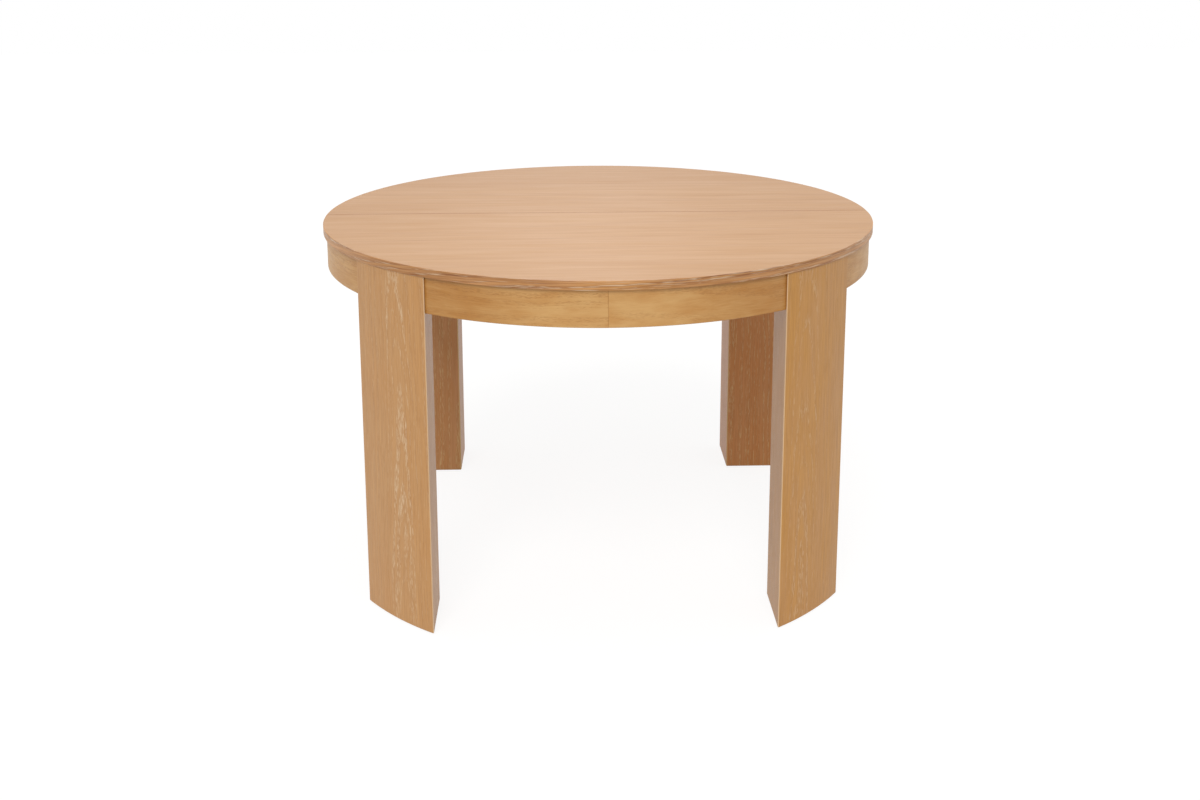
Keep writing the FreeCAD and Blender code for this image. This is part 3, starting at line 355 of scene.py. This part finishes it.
# Painted shade towards the legs, and painted light in the open middle of each length.
painted_shade_start = 60
painted_shade_end = 260
painted_leg_shade = 0.36
painted_middle_light = -0.16
joint_width = 2.4
joint_shade = 0.36
apron_oak = new_material("oak_veneer_apron")
place = add(apron_oak, "TexCoord").outputs["Object"]
x = add(apron_oak, "SeparateXYZ", {0: place}).outputs["X"]
off_joint = add(apron_oak, "Math", {0: x}, operation="ABSOLUTE")
joint_tone = add(apron_oak, "MapRange", {"Value": off_joint, "From Min": joint_width * MM / 4,
                                         "From Max": joint_width * MM / 2,
                                         "To Min": joint_shade, "To Max": 0})
to_leg = add(apron_oak, "Math", {0: off_joint, 1: -apron_reach * MM}, operation="ADD")
to_leg = add(apron_oak, "Math", {0: to_leg}, operation="ABSOLUTE")
# Painted shade near the legs, fading to painted light away from them.
painted_leg_shade_tone = add(apron_oak, "MapRange", {"Value": to_leg, "From Min": painted_shade_start * MM,
                                       "From Max": painted_shade_end * MM, "To Min": painted_leg_shade,
                                       "To Max": painted_middle_light}, interpolation_type="SMOOTHSTEP")
# The dark joint and the painted shade and light together make the apron's tone.
joint_stain_and_painted_shade = add(apron_oak, "Math", {0: painted_leg_shade_tone, 1: joint_tone}, operation="ADD")
grain = round_the_table(apron_oak, apron_face, apron_heart, apron_lot_shift)
oak(apron_oak, grain, "#C99C60", "#A0661D", "#B7803E", "#94612C", ring=16, pith=40, lean=0.05,
    sway=22, ring_depth=0.1, fibre=(2, 40), fibre_depth=0.26, cloud=(30, 90), cloud_depth=0.6,
    pore=(1.4, 9), pore_level=0.48, lime_depth=0.4, heart=400, tone=joint_stain_and_painted_shade)
finish_nodes(apron_names, apron_oak)

# Legs. Four solid wedges with the grain upright, each cut from its own log, so each has its
# own figure. Lime lies thickest near the heart of the log in the front legs, and all over the
# back legs. A painted highlight lays a thin paler line along the upright edges.
leg_face = 598
# Painted highlight: a thin line in lime colour along the three upright edges of each leg.
edge_highlight_width = 2.4
edge_highlight_depth = 0.6
log_spacing = 1.7
leg_looks = {
    "front_leg_left": (225, 28, 30, 0.035, 45, 0.65, "#C2925B", "#9C6935", "#C28E53", "#E2CAA8"),
    "front_leg_right": (315, -40, 40, 0.04, 60, 0.3, "#BF8B4C", "#996526", "#C18938", "#E2CAA8"),
    "back_leg_left": (135, 10, 110, 0.03, 400, 0.42, "#C08957", "#9A6432", "#BB7E43", "#D9C68C"),
    "back_leg_right": (45, 0, 90, 0.04, 400, 0.42, "#C7884E", "#9D5E2A", "#C68140", "#D9C68C"),
}
for number, (name, look) in enumerate(leg_looks.items()):
    heading, shift, pith, lean, heart, lime_depth, pale, deep, warm, lime = look
    leg_oak = new_material("limed_oak_" + name)
    place = add(leg_oak, "TexCoord").outputs["Object"]
    grain = add(leg_oak, "Mapping", {
        "Vector": place,
        "Rotation": (0, 0, math.radians(90 - heading)),
        "Location": (shift * MM, -leg_face * MM, number * log_spacing),
    })
    low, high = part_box(name)
    corners = [(x, y) for x in (low.x, high.x) for y in (low.y, high.y)]
    corners.remove(max(corners, key=lambda corner: math.hypot(*corner)))
    flat = add(leg_oak, "VectorMath", {0: place, 1: (1, 1, 0)}, operation="MULTIPLY")
    gaps = []
    for x, y in corners:
        gap = add(leg_oak, "VectorMath", {0: flat, 1: (x, y, 0)}, operation="DISTANCE")
        gaps.append(gap.outputs["Value"])
    near = add(leg_oak, "Math", {0: gaps[0], 1: gaps[1]}, operation="MINIMUM")
    near = add(leg_oak, "Math", {0: near, 1: gaps[2]}, operation="MINIMUM")
    # The painted highlight fades in from each upright edge.
    painted_edge_highlight = add(leg_oak, "MapRange", {"Value": near, "From Min": edge_highlight_width * MM / 2,
                                      "From Max": edge_highlight_width * MM, "To Min": edge_highlight_depth,
                                      "To Max": 0})
    oak(leg_oak, grain, pale, deep, warm, lime, pith=pith - lean * number * log_spacing / MM,
        lean=lean, sway=15, ring_depth=0.16, pore=(1.1, 16), pore_level=0.48,
        lime_depth=lime_depth, heart=heart, edge=painted_edge_highlight, roughness=0.4)
    finish_nodes([name], leg_oak)


# Slides, cross bars, guides, cleats, glue blocks and dowels. Planed beech without a finish:
# an even pinkish tan with short darker flecks, its grain along each piece.
def beech(material, order):
    """Planed beech whose grain runs along the last of the three axes in order."""
    fibre = (1.6, 1.6, 70)
    fleck = (0.9, 0.9, 5)
    band = (14, 14, 420)
    fibre_depth = 0.35
    fleck_depth = 0.55
    band_depth = 0.4
    fibre_height = 0.2
    place = add(material, "TexCoord").outputs["Object"]
    axes = dict(zip("XYZ", add(material, "SeparateXYZ", {0: place}).outputs))
    grain = add(material, "CombineXYZ", {i: axes[letter] for i, letter in enumerate(order)})
    noises = []
    for sizes, least, most in ((fibre, 0.3, 0.7), (fleck, 0.6, 0.72), (band, 0.35, 0.65)):
        rate = [1 / (size * MM) for size in sizes]
        cells = add(material, "VectorMath", {0: grain, 1: rate}, operation="MULTIPLY")
        noise = add(material, "TexNoise", {"Vector": cells, "Scale": 1, "Detail": 2,
                                           "Roughness": 0.55})
        noises.append(add(material, "MapRange", {"Value": noise, "From Min": least,
                                                 "From Max": most}))
    fibres, flecks, bands = noises
    shade = add(material, "Math", {0: fibres, 1: fibre_depth}, operation="MULTIPLY")
    shade = add(material, "Math", {0: bands, 1: band_depth, 2: shade}, operation="MULTIPLY_ADD")
    spots = add(material, "Math", {0: flecks, 1: fleck_depth}, operation="MULTIPLY")
    wood = colour("#DDB68C")
    for factor, code in ((shade, "#C4956A"), (spots, "#9A6840")):
        wood = add(material, "Mix", {0: factor, 6: wood, 7: colour(code)},
                   data_type="RGBA").outputs[2]
    rough = add(material, "MapRange", {"Value": fibres, "To Min": 0.55, "To Max": 0.7})
    bump = add(material, "Bump", {"Strength": 0.3, "Distance": fibre_height * MM,
                                  "Height": fibres})
    shader = add(material, "BsdfPrincipled", {"Base Color": wood, "Roughness": rough,
                                              "IOR": 1.5, "Normal": bump})
    add(material, "OutputMaterial", {"Surface": shader})


beech_pieces = {
    "XZY": ["middle_rail_left", "middle_rail_right", "front_slide_rail_left",
            "front_slide_rail_right", "back_slide_rail_left", "back_slide_rail_right",
            "leaf_guides"],
    "YZX": ["cross_bars", "front_leg_cleats", "back_leg_cleats", "front_apron_dowels",
            "back_apron_dowels", "front_apron_blocks", "back_apron_blocks"],
}
for order, names in beech_pieces.items():
    planed_beech = new_material("planed_beech_along_" + order[-1].lower())
    beech(planed_beech, order)
    finish_nodes(names, planed_beech)


# Racks and pinions. Moulded nylon in its natural ivory, with the dull skin that a mould
# leaves. The same finish in brown serves the glides and the knobs of the latches.
def moulded(material, pale, deep):
    """Moulded nylon with a faint flow of colour and a fine matt skin."""
    skin_size = 0.6
    skin_height = 0.06
    flow_size = 16
    nylon_ior = 1.53
    place = add(material, "TexCoord").outputs["Object"]
    skin = add(material, "TexNoise", {"Vector": place, "Scale": 1 / (skin_size * MM), "Detail": 2})
    flow = add(material, "TexNoise", {"Vector": place, "Scale": 1 / (flow_size * MM), "Detail": 2})
    tint = add(material, "Mix", {0: flow, 6: colour(pale), 7: colour(deep)}, data_type="RGBA")
    rough = add(material, "MapRange", {"Value": skin, "To Min": 0.42, "To Max": 0.58})
    bump = add(material, "Bump", {"Strength": 0.2, "Distance": skin_height * MM, "Height": skin})
    shader = add(material, "BsdfPrincipled", {"Base Color": tint.outputs[2], "Roughness": rough,
                                              "IOR": nylon_ior, "Normal": bump})
    add(material, "OutputMaterial", {"Surface": shader})


nylon = new_material("moulded_ivory_nylon")
moulded(nylon, "#EAE4D3", "#DAD1BA")
finish_nodes(["front_racks", "back_racks", "pinion_left", "pinion_right"], nylon)


# Steel pins, plates and levers of the slides and latches. Pressed and turned steel with
# bright zinc plating: a cool grey with faint warm clouds and a fine drawn grain.
def metal(material, bright, dull, roughness, drawn):
    """Drawn or turned metal: clouds of tarnish, and a grain of three sizes that spreads gloss."""
    cloud_size = 7
    line_height = 0.05
    line_roughness = 0.16
    rate = [1 / (size * MM) for size in drawn]
    place = add(material, "TexCoord").outputs["Object"]
    cells = add(material, "VectorMath", {0: place, 1: rate}, operation="MULTIPLY")
    lines = add(material, "TexNoise", {"Vector": cells, "Scale": 1, "Detail": 2, "Roughness": 0.6})
    clouds = add(material, "TexNoise", {"Vector": place, "Scale": 1 / (cloud_size * MM),
                                        "Detail": 3})
    clouds = add(material, "MapRange", {"Value": clouds, "From Min": 0.35, "From Max": 0.7})
    tint = add(material, "Mix", {0: clouds, 6: colour(bright), 7: colour(dull)}, data_type="RGBA")
    rough = add(material, "Math", {0: lines, 1: line_roughness, 2: roughness},
                operation="MULTIPLY_ADD")
    bump = add(material, "Bump", {"Strength": 0.12, "Distance": line_height * MM, "Height": lines})
    shader = add(material, "BsdfPrincipled", {"Base Color": tint.outputs[2], "Metallic": 1,
                                              "Roughness": rough, "Normal": bump})
    add(material, "OutputMaterial", {"Surface": shader})


steel = new_material("zinc_plated_steel")
metal(steel, "#D2D4D6", "#B9B4A6", 0.28, (0.5, 9, 0.5))
finish_nodes(["front_stop_pins", "back_stop_pins", "pinion_pins", "latch_plates", "latch_keepers",
              "latch_lever_left", "latch_lever_right"], steel)


# Wood screws. Countersunk steel screws with a cross recess. Those in the cleats, glue blocks
# and rails hold them under the half tops, and eight hold the cross bars under the slides.
def new_piece(shape, name, **sizes):
    """A primitive as the start of a piece, alone in the selection."""
    bpy.ops.object.select_all(action="DESELECT")
    getattr(bpy.ops.mesh, "primitive_" + shape + "_add")(**sizes)
    bpy.ops.object.transform_apply(location=True, rotation=True, scale=True)
    piece = bpy.context.object
    piece.name = name
    return piece


def edit(piece, wanted, kind="FACE"):
    """Open a piece with only the wanted faces or edges selected."""
    bpy.context.view_layer.objects.active = piece
    bpy.ops.object.mode_set(mode="EDIT")
    bpy.ops.mesh.select_mode(type=kind)
    bpy.ops.mesh.select_all(action="DESELECT")
    opened = bmesh.from_edit_mesh(piece.data)
    for item in opened.faces if kind == "FACE" else opened.edges:
        item.select_set(bool(wanted(item)))
    bmesh.update_edit_mesh(piece.data)


def close(piece, smooth_angle=35):
    """Leave edit mode, with the piece alone in the selection and its round faces smooth."""
    bpy.ops.object.mode_set(mode="OBJECT")
    bpy.ops.object.select_all(action="DESELECT")
    piece.select_set(True)
    bpy.context.view_layer.objects.active = piece
    bpy.ops.object.shade_smooth_by_angle(angle=math.radians(smooth_angle))


def on_top(face):
    """True for a face that looks up."""
    return face.normal.z > 0.9


def underneath(face):
    """True for a face that looks down."""
    return face.normal.z < -0.9


def grow(rise, scale=1):
    """Extrude what is selected upwards, and scale its new end."""
    bpy.ops.mesh.extrude_region_move(TRANSFORM_OT_translate={"value": (0, 0, rise)})
    bpy.ops.transform.resize(value=(scale, scale, 1))


def cut_with(piece, tool):
    """Cut a piece with a tool, which is then thrown away."""
    bpy.ops.object.mode_set(mode="OBJECT")
    hole = piece.modifiers.new("hole", "BOOLEAN")
    hole.operation = "DIFFERENCE"
    hole.object = tool
    bpy.context.view_layer.objects.active = piece
    bpy.ops.object.modifier_apply(modifier=hole.name)
    bpy.data.objects.remove(tool)


def solids_in(node):
    """Lowest and highest corner of each separate solid of a CAD node, in order of place."""
    weld_distance = 0.001
    welded = bmesh.new()
    welded.from_mesh(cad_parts[node].data)
    bmesh.ops.remove_doubles(welded, verts=welded.verts, dist=weld_distance * MM)
    left = set(welded.verts)
    boxes = []
    while left:
        group = [left.pop()]
        for vert in group:
            linked = [edge.other_vert(vert) for edge in vert.link_edges]
            for other in left.intersection(linked):
                left.remove(other)
                group.append(other)
        boxes.append([Vector([pick(vert.co[i] for vert in group) for i in range(3)])
                      for pick in (min, max)])
    welded.free()
    return sorted(boxes, key=lambda box: [round(value / MM, 1) for corner in box
                                          for value in corner])


def stand_for(piece, node, body, material):
    """Give the piece its finish and body, and hide the CAD node it stands in for."""
    piece.data.materials.clear()
    piece.data.materials.append(material)
    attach(piece, body)
    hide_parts(node)


def copy_to_each(model, node, body, material, place_in):
    """A copy of the model for each solid of a node, named by number."""
    for number, (low, high) in enumerate(solids_in(node), 1):
        piece = model.copy()
        piece.data = model.data.copy()
        piece.name = node.rstrip("s") + "_" + str(number)
        piece.data.transform(place_in(low, high))
        bpy.context.scene.collection.objects.link(piece)
        stand_for(piece, node, body, material)


def upright_in(low, high):
    """From the model's own place to the foot of an upright solid."""
    return Matrix.Translation(((low.x + high.x) / 2, (low.y + high.y) / 2, low.z))


def cross_screw(name, head, head_height, shank, length, pitch):
    """A screw that points up: its countersunk head is at the bottom, and its point on top."""
    crest_share = 1.2
    tip_share = 0.15
    recess_share = 0.62
    slot_share = 0.13
    recess_depth_share = 0.7
    recess_end_share = 0.4
    sides = 20
    screw = new_piece("cone", name, vertices=sides, radius1=head / 2 * MM,
                      radius2=shank / 2 / crest_share * MM, depth=head_height * MM,
                      location=(0, 0, head_height / 2 * MM))
    edit(screw, on_top)
    for turn in range(int((length - head_height - shank) / pitch)):
        grow(pitch / 2 * MM, crest_share)
        grow(pitch / 2 * MM, 1 / crest_share)
    grow(shank * MM, tip_share)
    bpy.ops.object.mode_set(mode="OBJECT")
    recess_reach = (head * recess_share / 2, head * slot_share / 2,
                    head_height * recess_depth_share)
    for turn in (0, 90):
        recess = new_piece("cube", "recess", size=2, rotation=(0, 0, math.radians(turn)),
                           scale=[reach * MM for reach in recess_reach])
        edit(recess, on_top)
        bpy.ops.transform.resize(value=(recess_end_share, recess_end_share, 1))
        cut_with(screw, recess)
    close(screw)
    return screw


wood_screw = cross_screw("wood_screw", head=9, head_height=3, shank=5, length=50, pitch=3)
copy_to_each(wood_screw, "front_top_screws", "front_half", steel, upright_in)
copy_to_each(wood_screw, "back_top_screws", "back_half", steel, upright_in)
copy_to_each(wood_screw, "cross_bar_screws", "slide_frame", steel, upright_in)
bpy.data.objects.remove(wood_screw)

# Leg bolts. Steel bolts with a low head and a hexagon socket. Two go through the cleats into
# each leg, square to its flat faces.
bolt_head = 13
bolt_head_height = 5
bolt_head_round = 0.7
bolt_shank = 8
bolt_length = 60
bolt_tip = 1
bolt_tip_share = 0.8
bolt_key = 6
bolt_socket_depth = 3
bolt = new_piece("cylinder", "leg_bolt", vertices=36, radius=bolt_head / 2 * MM,
                 depth=bolt_head_height * MM, location=(0, 0, bolt_head_height / 2 * MM))
edit(bolt, underneath)
bpy.ops.mesh.bevel(offset=bolt_head_round * MM, segments=2)
edit(bolt, on_top)
bpy.ops.mesh.inset(thickness=(bolt_head - bolt_shank) / 2 * MM)
grow((bolt_length - bolt_tip) * MM)
grow(bolt_tip * MM, bolt_tip_share)
bpy.ops.object.mode_set(mode="OBJECT")
cut_with(bolt, new_piece("cylinder", "socket", vertices=6, radius=bolt_key / math.sqrt(3) * MM,
                         depth=bolt_socket_depth * 2 * MM))
close(bolt)


def into_the_leg(low, high):
    """From the model's own place to a level bolt whose head is nearest the table's middle."""
    middle = (low + high) / 2
    reach = high - low
    along = Vector((1, 0, 0)) if reach.x > reach.y else Vector((0, 1, 0))
    outward = along if middle.dot(along) > 0 else -along
    head_place = middle - outward * reach.dot(along) / 2
    return Matrix.Translation(head_place) @ outward.to_track_quat("Z", "Y").to_matrix().to_4x4()


copy_to_each(bolt, "front_leg_bolts", "front_half", steel, into_the_leg)
copy_to_each(bolt, "back_leg_bolts", "back_half", steel, into_the_leg)
bpy.data.objects.remove(bolt)

# Leaf hinges. Turned brass barrels let into the ends of the two boards, with a brass link
# outside them that turns on two domed rivets.
barrel_width = 10
barrel_length = 26
barrel_lip = 1.2
barrel_dish = 0.4
link_thickness = 1.5
link_width = 6
link_round = 2.88
link_rivet_head = 4.4
link_rivet_rise = 0.5
link_rivet_dome = 0.45
sideways = (0, math.radians(90), 0)
brass = new_material("turned_brass")
metal(brass, "#D9B45F", "#B08A42", 0.25, (9, 0.5, 0.5))
finish_nodes(["back_seam_sockets", "leaf_seam_sockets"], brass)

lower_low, lower_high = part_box("leaf_panel_lower")
upper_low, upper_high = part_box("leaf_panel_upper")
hinge_low, hinge_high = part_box("leaf_hinges")
leaf_end = lower_high.x
levels = [(lower_low.z + lower_high.z) / 2, (upper_low.z + upper_high.z) / 2]
link_height = levels[1] - levels[0] + link_width * MM
link = new_piece("cube", "leaf_hinge", size=1,
                 scale=(link_thickness * MM, link_width * MM, link_height),
                 location=(leaf_end + link_thickness / 2 * MM, 0, (levels[0] + levels[1]) / 2))
edit(link, lambda edge: abs(edge.verts[0].co.x - edge.verts[1].co.x) > link_thickness / 2 * MM,
     "EDGE")
bpy.ops.mesh.bevel(offset=link_round * MM, segments=8)
bpy.ops.object.mode_set(mode="OBJECT")
hinge_parts = [link]
for level in levels:
    barrel = new_piece("cylinder", "barrel", vertices=36, radius=barrel_width / 2 * MM,
                       depth=barrel_length * MM, rotation=sideways,
                       location=(leaf_end - barrel_length / 2 * MM, 0, level))
    edit(barrel, lambda face: abs(face.normal.x) > 0.9)
    bpy.ops.mesh.inset(thickness=barrel_lip * MM, depth=-barrel_dish * MM)
    bpy.ops.object.mode_set(mode="OBJECT")
    rivet = new_piece("cylinder", "link_rivet", vertices=24, radius=link_rivet_head / 2 * MM,
                      depth=link_rivet_rise * MM, rotation=sideways,
                      location=(leaf_end + (link_thickness + link_rivet_rise / 2) * MM, 0, level))
    edit(rivet, lambda face: face.normal.x > 0.9)
    bpy.ops.mesh.bevel(offset=link_rivet_dome * MM, segments=3)
    bpy.ops.object.mode_set(mode="OBJECT")
    hinge_parts += [barrel, rivet]
for part in hinge_parts:
    part.select_set(True)
bpy.context.view_layer.objects.active = link
bpy.ops.object.join()
close(link)
hinge_spacing = (hinge_high.y - hinge_low.y - barrel_width * MM) / 2
for number, y in enumerate((-hinge_spacing, 0, hinge_spacing), 1):
    hinge = link.copy()
    hinge.data = link.data.copy()
    hinge.name = "leaf_hinge_" + str(number)
    hinge.data.transform(Matrix.Translation((0, y, 0)))
    bpy.context.scene.collection.objects.link(hinge)
    stand_for(hinge, "leaf_hinges", "slide_frame", brass)
bpy.data.objects.remove(link)

# Felt pads. Four strips of pressed brown wool felt under the folded leaf, cut with scissors,
# so their edges are soft and a little uneven.
felt_size = (60, 30, 1.5)
felt_edge = 0.5
felt_cuts = 11
fuzz_height = 0.2
hair_size = 0.35
hair_height = 0.3
clump_size = 3
felt = new_material("pressed_wool_felt")
place = add(felt, "TexCoord").outputs["Object"]
hairs = add(felt, "TexNoise", {"Vector": place, "Scale": 1 / (hair_size * MM), "Detail": 4,
                               "Distortion": 1.5})
clumps = add(felt, "TexNoise", {"Vector": place, "Scale": 1 / (clump_size * MM), "Detail": 2})
mottle = add(felt, "Math", {0: hairs, 1: clumps}, operation="MULTIPLY")
mottle = add(felt, "MapRange", {"Value": mottle, "From Min": 0.12, "From Max": 0.4})
wool = add(felt, "Mix", {0: mottle, 6: colour("#4E3B2B"), 7: colour("#7E6650")}, data_type="RGBA")
bump = add(felt, "Bump", {"Strength": 0.6, "Distance": hair_height * MM, "Height": hairs})
shader = add(felt, "BsdfPrincipled", {"Base Color": wool.outputs[2], "Roughness": 0.95,
                                      "Sheen Weight": 0.4, "Sheen Roughness": 0.5, "Normal": bump})
add(felt, "OutputMaterial", {"Surface": shader})

pad = new_piece("cube", "leaf_pad", size=1, scale=[length * MM for length in felt_size],
                location=(0, 0, felt_size[2] / 2 * MM))
edit(pad, lambda face: True)
bpy.ops.mesh.subdivide(number_cuts=felt_cuts)
bpy.ops.object.mode_set(mode="OBJECT")
soft_edge = pad.modifiers.new("soft_edge", "BEVEL")
soft_edge.width = felt_edge * MM
soft_edge.segments = 2
soft_edge.limit_method = "ANGLE"
fuzz = pad.modifiers.new("fuzz", "DISPLACE")
fuzz.texture = bpy.data.textures.new("felt_fuzz", "CLOUDS")
fuzz.texture.noise_scale = clump_size * MM
fuzz.strength = fuzz_height * MM
for modifier in list(pad.modifiers):
    bpy.ops.object.modifier_apply(modifier=modifier.name)
close(pad, 60)
copy_to_each(pad, "leaf_pads", "slide_frame", felt, upright_in)
bpy.data.objects.remove(pad)

# Seam pins. Beech pins with rounded noses, glued into the front half's seam edge and into
# one long edge of each leaf board. They line the top up as it closes.
pin_width = 6
pin_length = 30
nose_round = 2.4
pin_beech = new_material("turned_beech")
beech(pin_beech, "XZY")
seam_pin = new_piece("cylinder", "seam_pin", vertices=32, radius=pin_width / 2 * MM,
                     depth=pin_length * MM, location=(0, 0, pin_length / 2 * MM))
edit(seam_pin, on_top)
bpy.ops.mesh.bevel(offset=nose_round * MM, segments=5)
close(seam_pin)


def towards_the_back(low, high):
    """From the model's own place to a level pin whose nose points to the back."""
    middle = (low + high) / 2
    turned = Matrix.Rotation(math.radians(-90), 4, "X")
    return Matrix.Translation((middle.x, low.y, middle.z)) @ turned


copy_to_each(seam_pin, "front_seam_pins", "front_half", pin_beech, towards_the_back)
copy_to_each(seam_pin, "leaf_seam_pins", "slide_frame", pin_beech, towards_the_back)
bpy.data.objects.remove(seam_pin)

# Latch rivets. Steel rivets with a domed head, one up through each latch lever and its plate.
# The lever turns on it.
rivet_head = 12
rivet_head_height = 2
rivet_dome = 1.9
rivet_shank = 6
low, high = solids_in("latch_rivets")[0]
latch_rivet = new_piece("cylinder", "latch_rivet", vertices=36, radius=rivet_head / 2 * MM,
                        depth=rivet_head_height * MM, location=(0, 0, rivet_head_height / 2 * MM))
edit(latch_rivet, underneath)
bpy.ops.mesh.bevel(offset=rivet_dome * MM, segments=5)
edit(latch_rivet, on_top)
bpy.ops.mesh.inset(thickness=(rivet_head - rivet_shank) / 2 * MM)
grow(high.z - low.z - rivet_head_height * MM)
close(latch_rivet)
copy_to_each(latch_rivet, "latch_rivets", "front_half", steel, upright_in)
bpy.data.objects.remove(latch_rivet)

# Keeper pins. Turned steel pins on the back half that the levers hook on, with a chamfered
# lower end and a fine turned groove over it.
keeper_width = 8
keeper_foot = 0.8
keeper_chamfer = 0.7
groove_slope = 0.3
groove_width = 0.5
groove_share = 0.92
low, high = solids_in("keeper_pins")[0]
keeper_pin = new_piece("cylinder", "keeper_pin", vertices=36, radius=keeper_width / 2 * MM,
                       depth=keeper_foot * MM, location=(0, 0, keeper_foot / 2 * MM))
edit(keeper_pin, underneath)
bpy.ops.mesh.bevel(offset=keeper_chamfer * MM, segments=2)
edit(keeper_pin, on_top)
grow(groove_slope * MM, groove_share)
grow(groove_width * MM)
grow(groove_slope * MM, 1 / groove_share)
grow(high.z - low.z - (keeper_foot + groove_width + 2 * groove_slope) * MM)
close(keeper_pin)
copy_to_each(keeper_pin, "keeper_pins", "back_half", steel, upright_in)
bpy.data.objects.remove(keeper_pin)

# Plate screws. Small countersunk steel screws that hold the latch and keeper plates under the
# half tops, their heads flush with the plates.
plate_screw = cross_screw("plate_screw", head=5.5, head_height=1, shank=3, length=11, pitch=1.4)
copy_to_each(plate_screw, "latch_plate_screws", "front_half", steel, upright_in)
copy_to_each(plate_screw, "keeper_plate_screws", "back_half", steel, upright_in)
bpy.data.objects.remove(plate_screw)

# Glides and latch knobs. Moulded brown nylon: twelve discs nailed under the legs, which keep
# the oak off the floor, and two fluted caps pushed over the studs of the latch levers.
flutes = 12
flute_depth = 0.6
knob_wall = 1.5
knob_floor = 1
knob_round = 0.8
stud_end = 1
lever_thickness = 3
lever_space = 0.5
brown_nylon = new_material("moulded_brown_nylon")
moulded(brown_nylon, "#5A4231", "#463225")
finish_nodes(["front_leg_glides", "back_leg_glides"], brown_nylon)


def in_a_flute(face):
    """True for every second stretch of a knob's side."""
    turn = math.degrees(math.atan2(face.normal.y, face.normal.x))
    return abs(face.normal.z) < 0.1 and turn % (360 / flutes) < 180 / flutes


for side in ("left", "right"):
    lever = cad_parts["latch_lever_" + side].data
    low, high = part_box("latch_lever_" + side)
    stud = [vert.co for vert in lever.vertices if vert.co.z < low.z + stud_end * MM]
    left, right = [pick(point.x for point in stud) for pick in (min, max)]
    front, back = [pick(point.y for point in stud) for pick in (min, max)]
    stud_radius = (right - left) / 2
    knob_top = high.z - (lever_thickness + lever_space) * MM
    knob_bottom = low.z - knob_floor * MM
    knob = new_piece("cylinder", "latch_knob_" + side, vertices=flutes * 4,
                     radius=stud_radius + knob_wall * MM, depth=knob_top - knob_bottom)
    edit(knob, in_a_flute)
    bpy.ops.mesh.inset(thickness=flute_depth / 2 * MM, depth=-flute_depth * MM)
    edit(knob, underneath)
    bpy.ops.mesh.bevel(offset=knob_round * MM, segments=3)
    bpy.ops.object.mode_set(mode="OBJECT")
    bore = new_piece("cylinder", "bore", vertices=36, radius=stud_radius,
                     depth=knob_top - knob_bottom, location=(0, 0, knob_floor * MM))
    cut_with(knob, bore)
    close(knob)
    knob.data.transform(Matrix.Translation(((left + right) / 2, (front + back) / 2,
                                            (knob_top + knob_bottom) / 2)))
    knob.data.materials.append(brown_nylon)
    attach(knob, "latch_" + side)
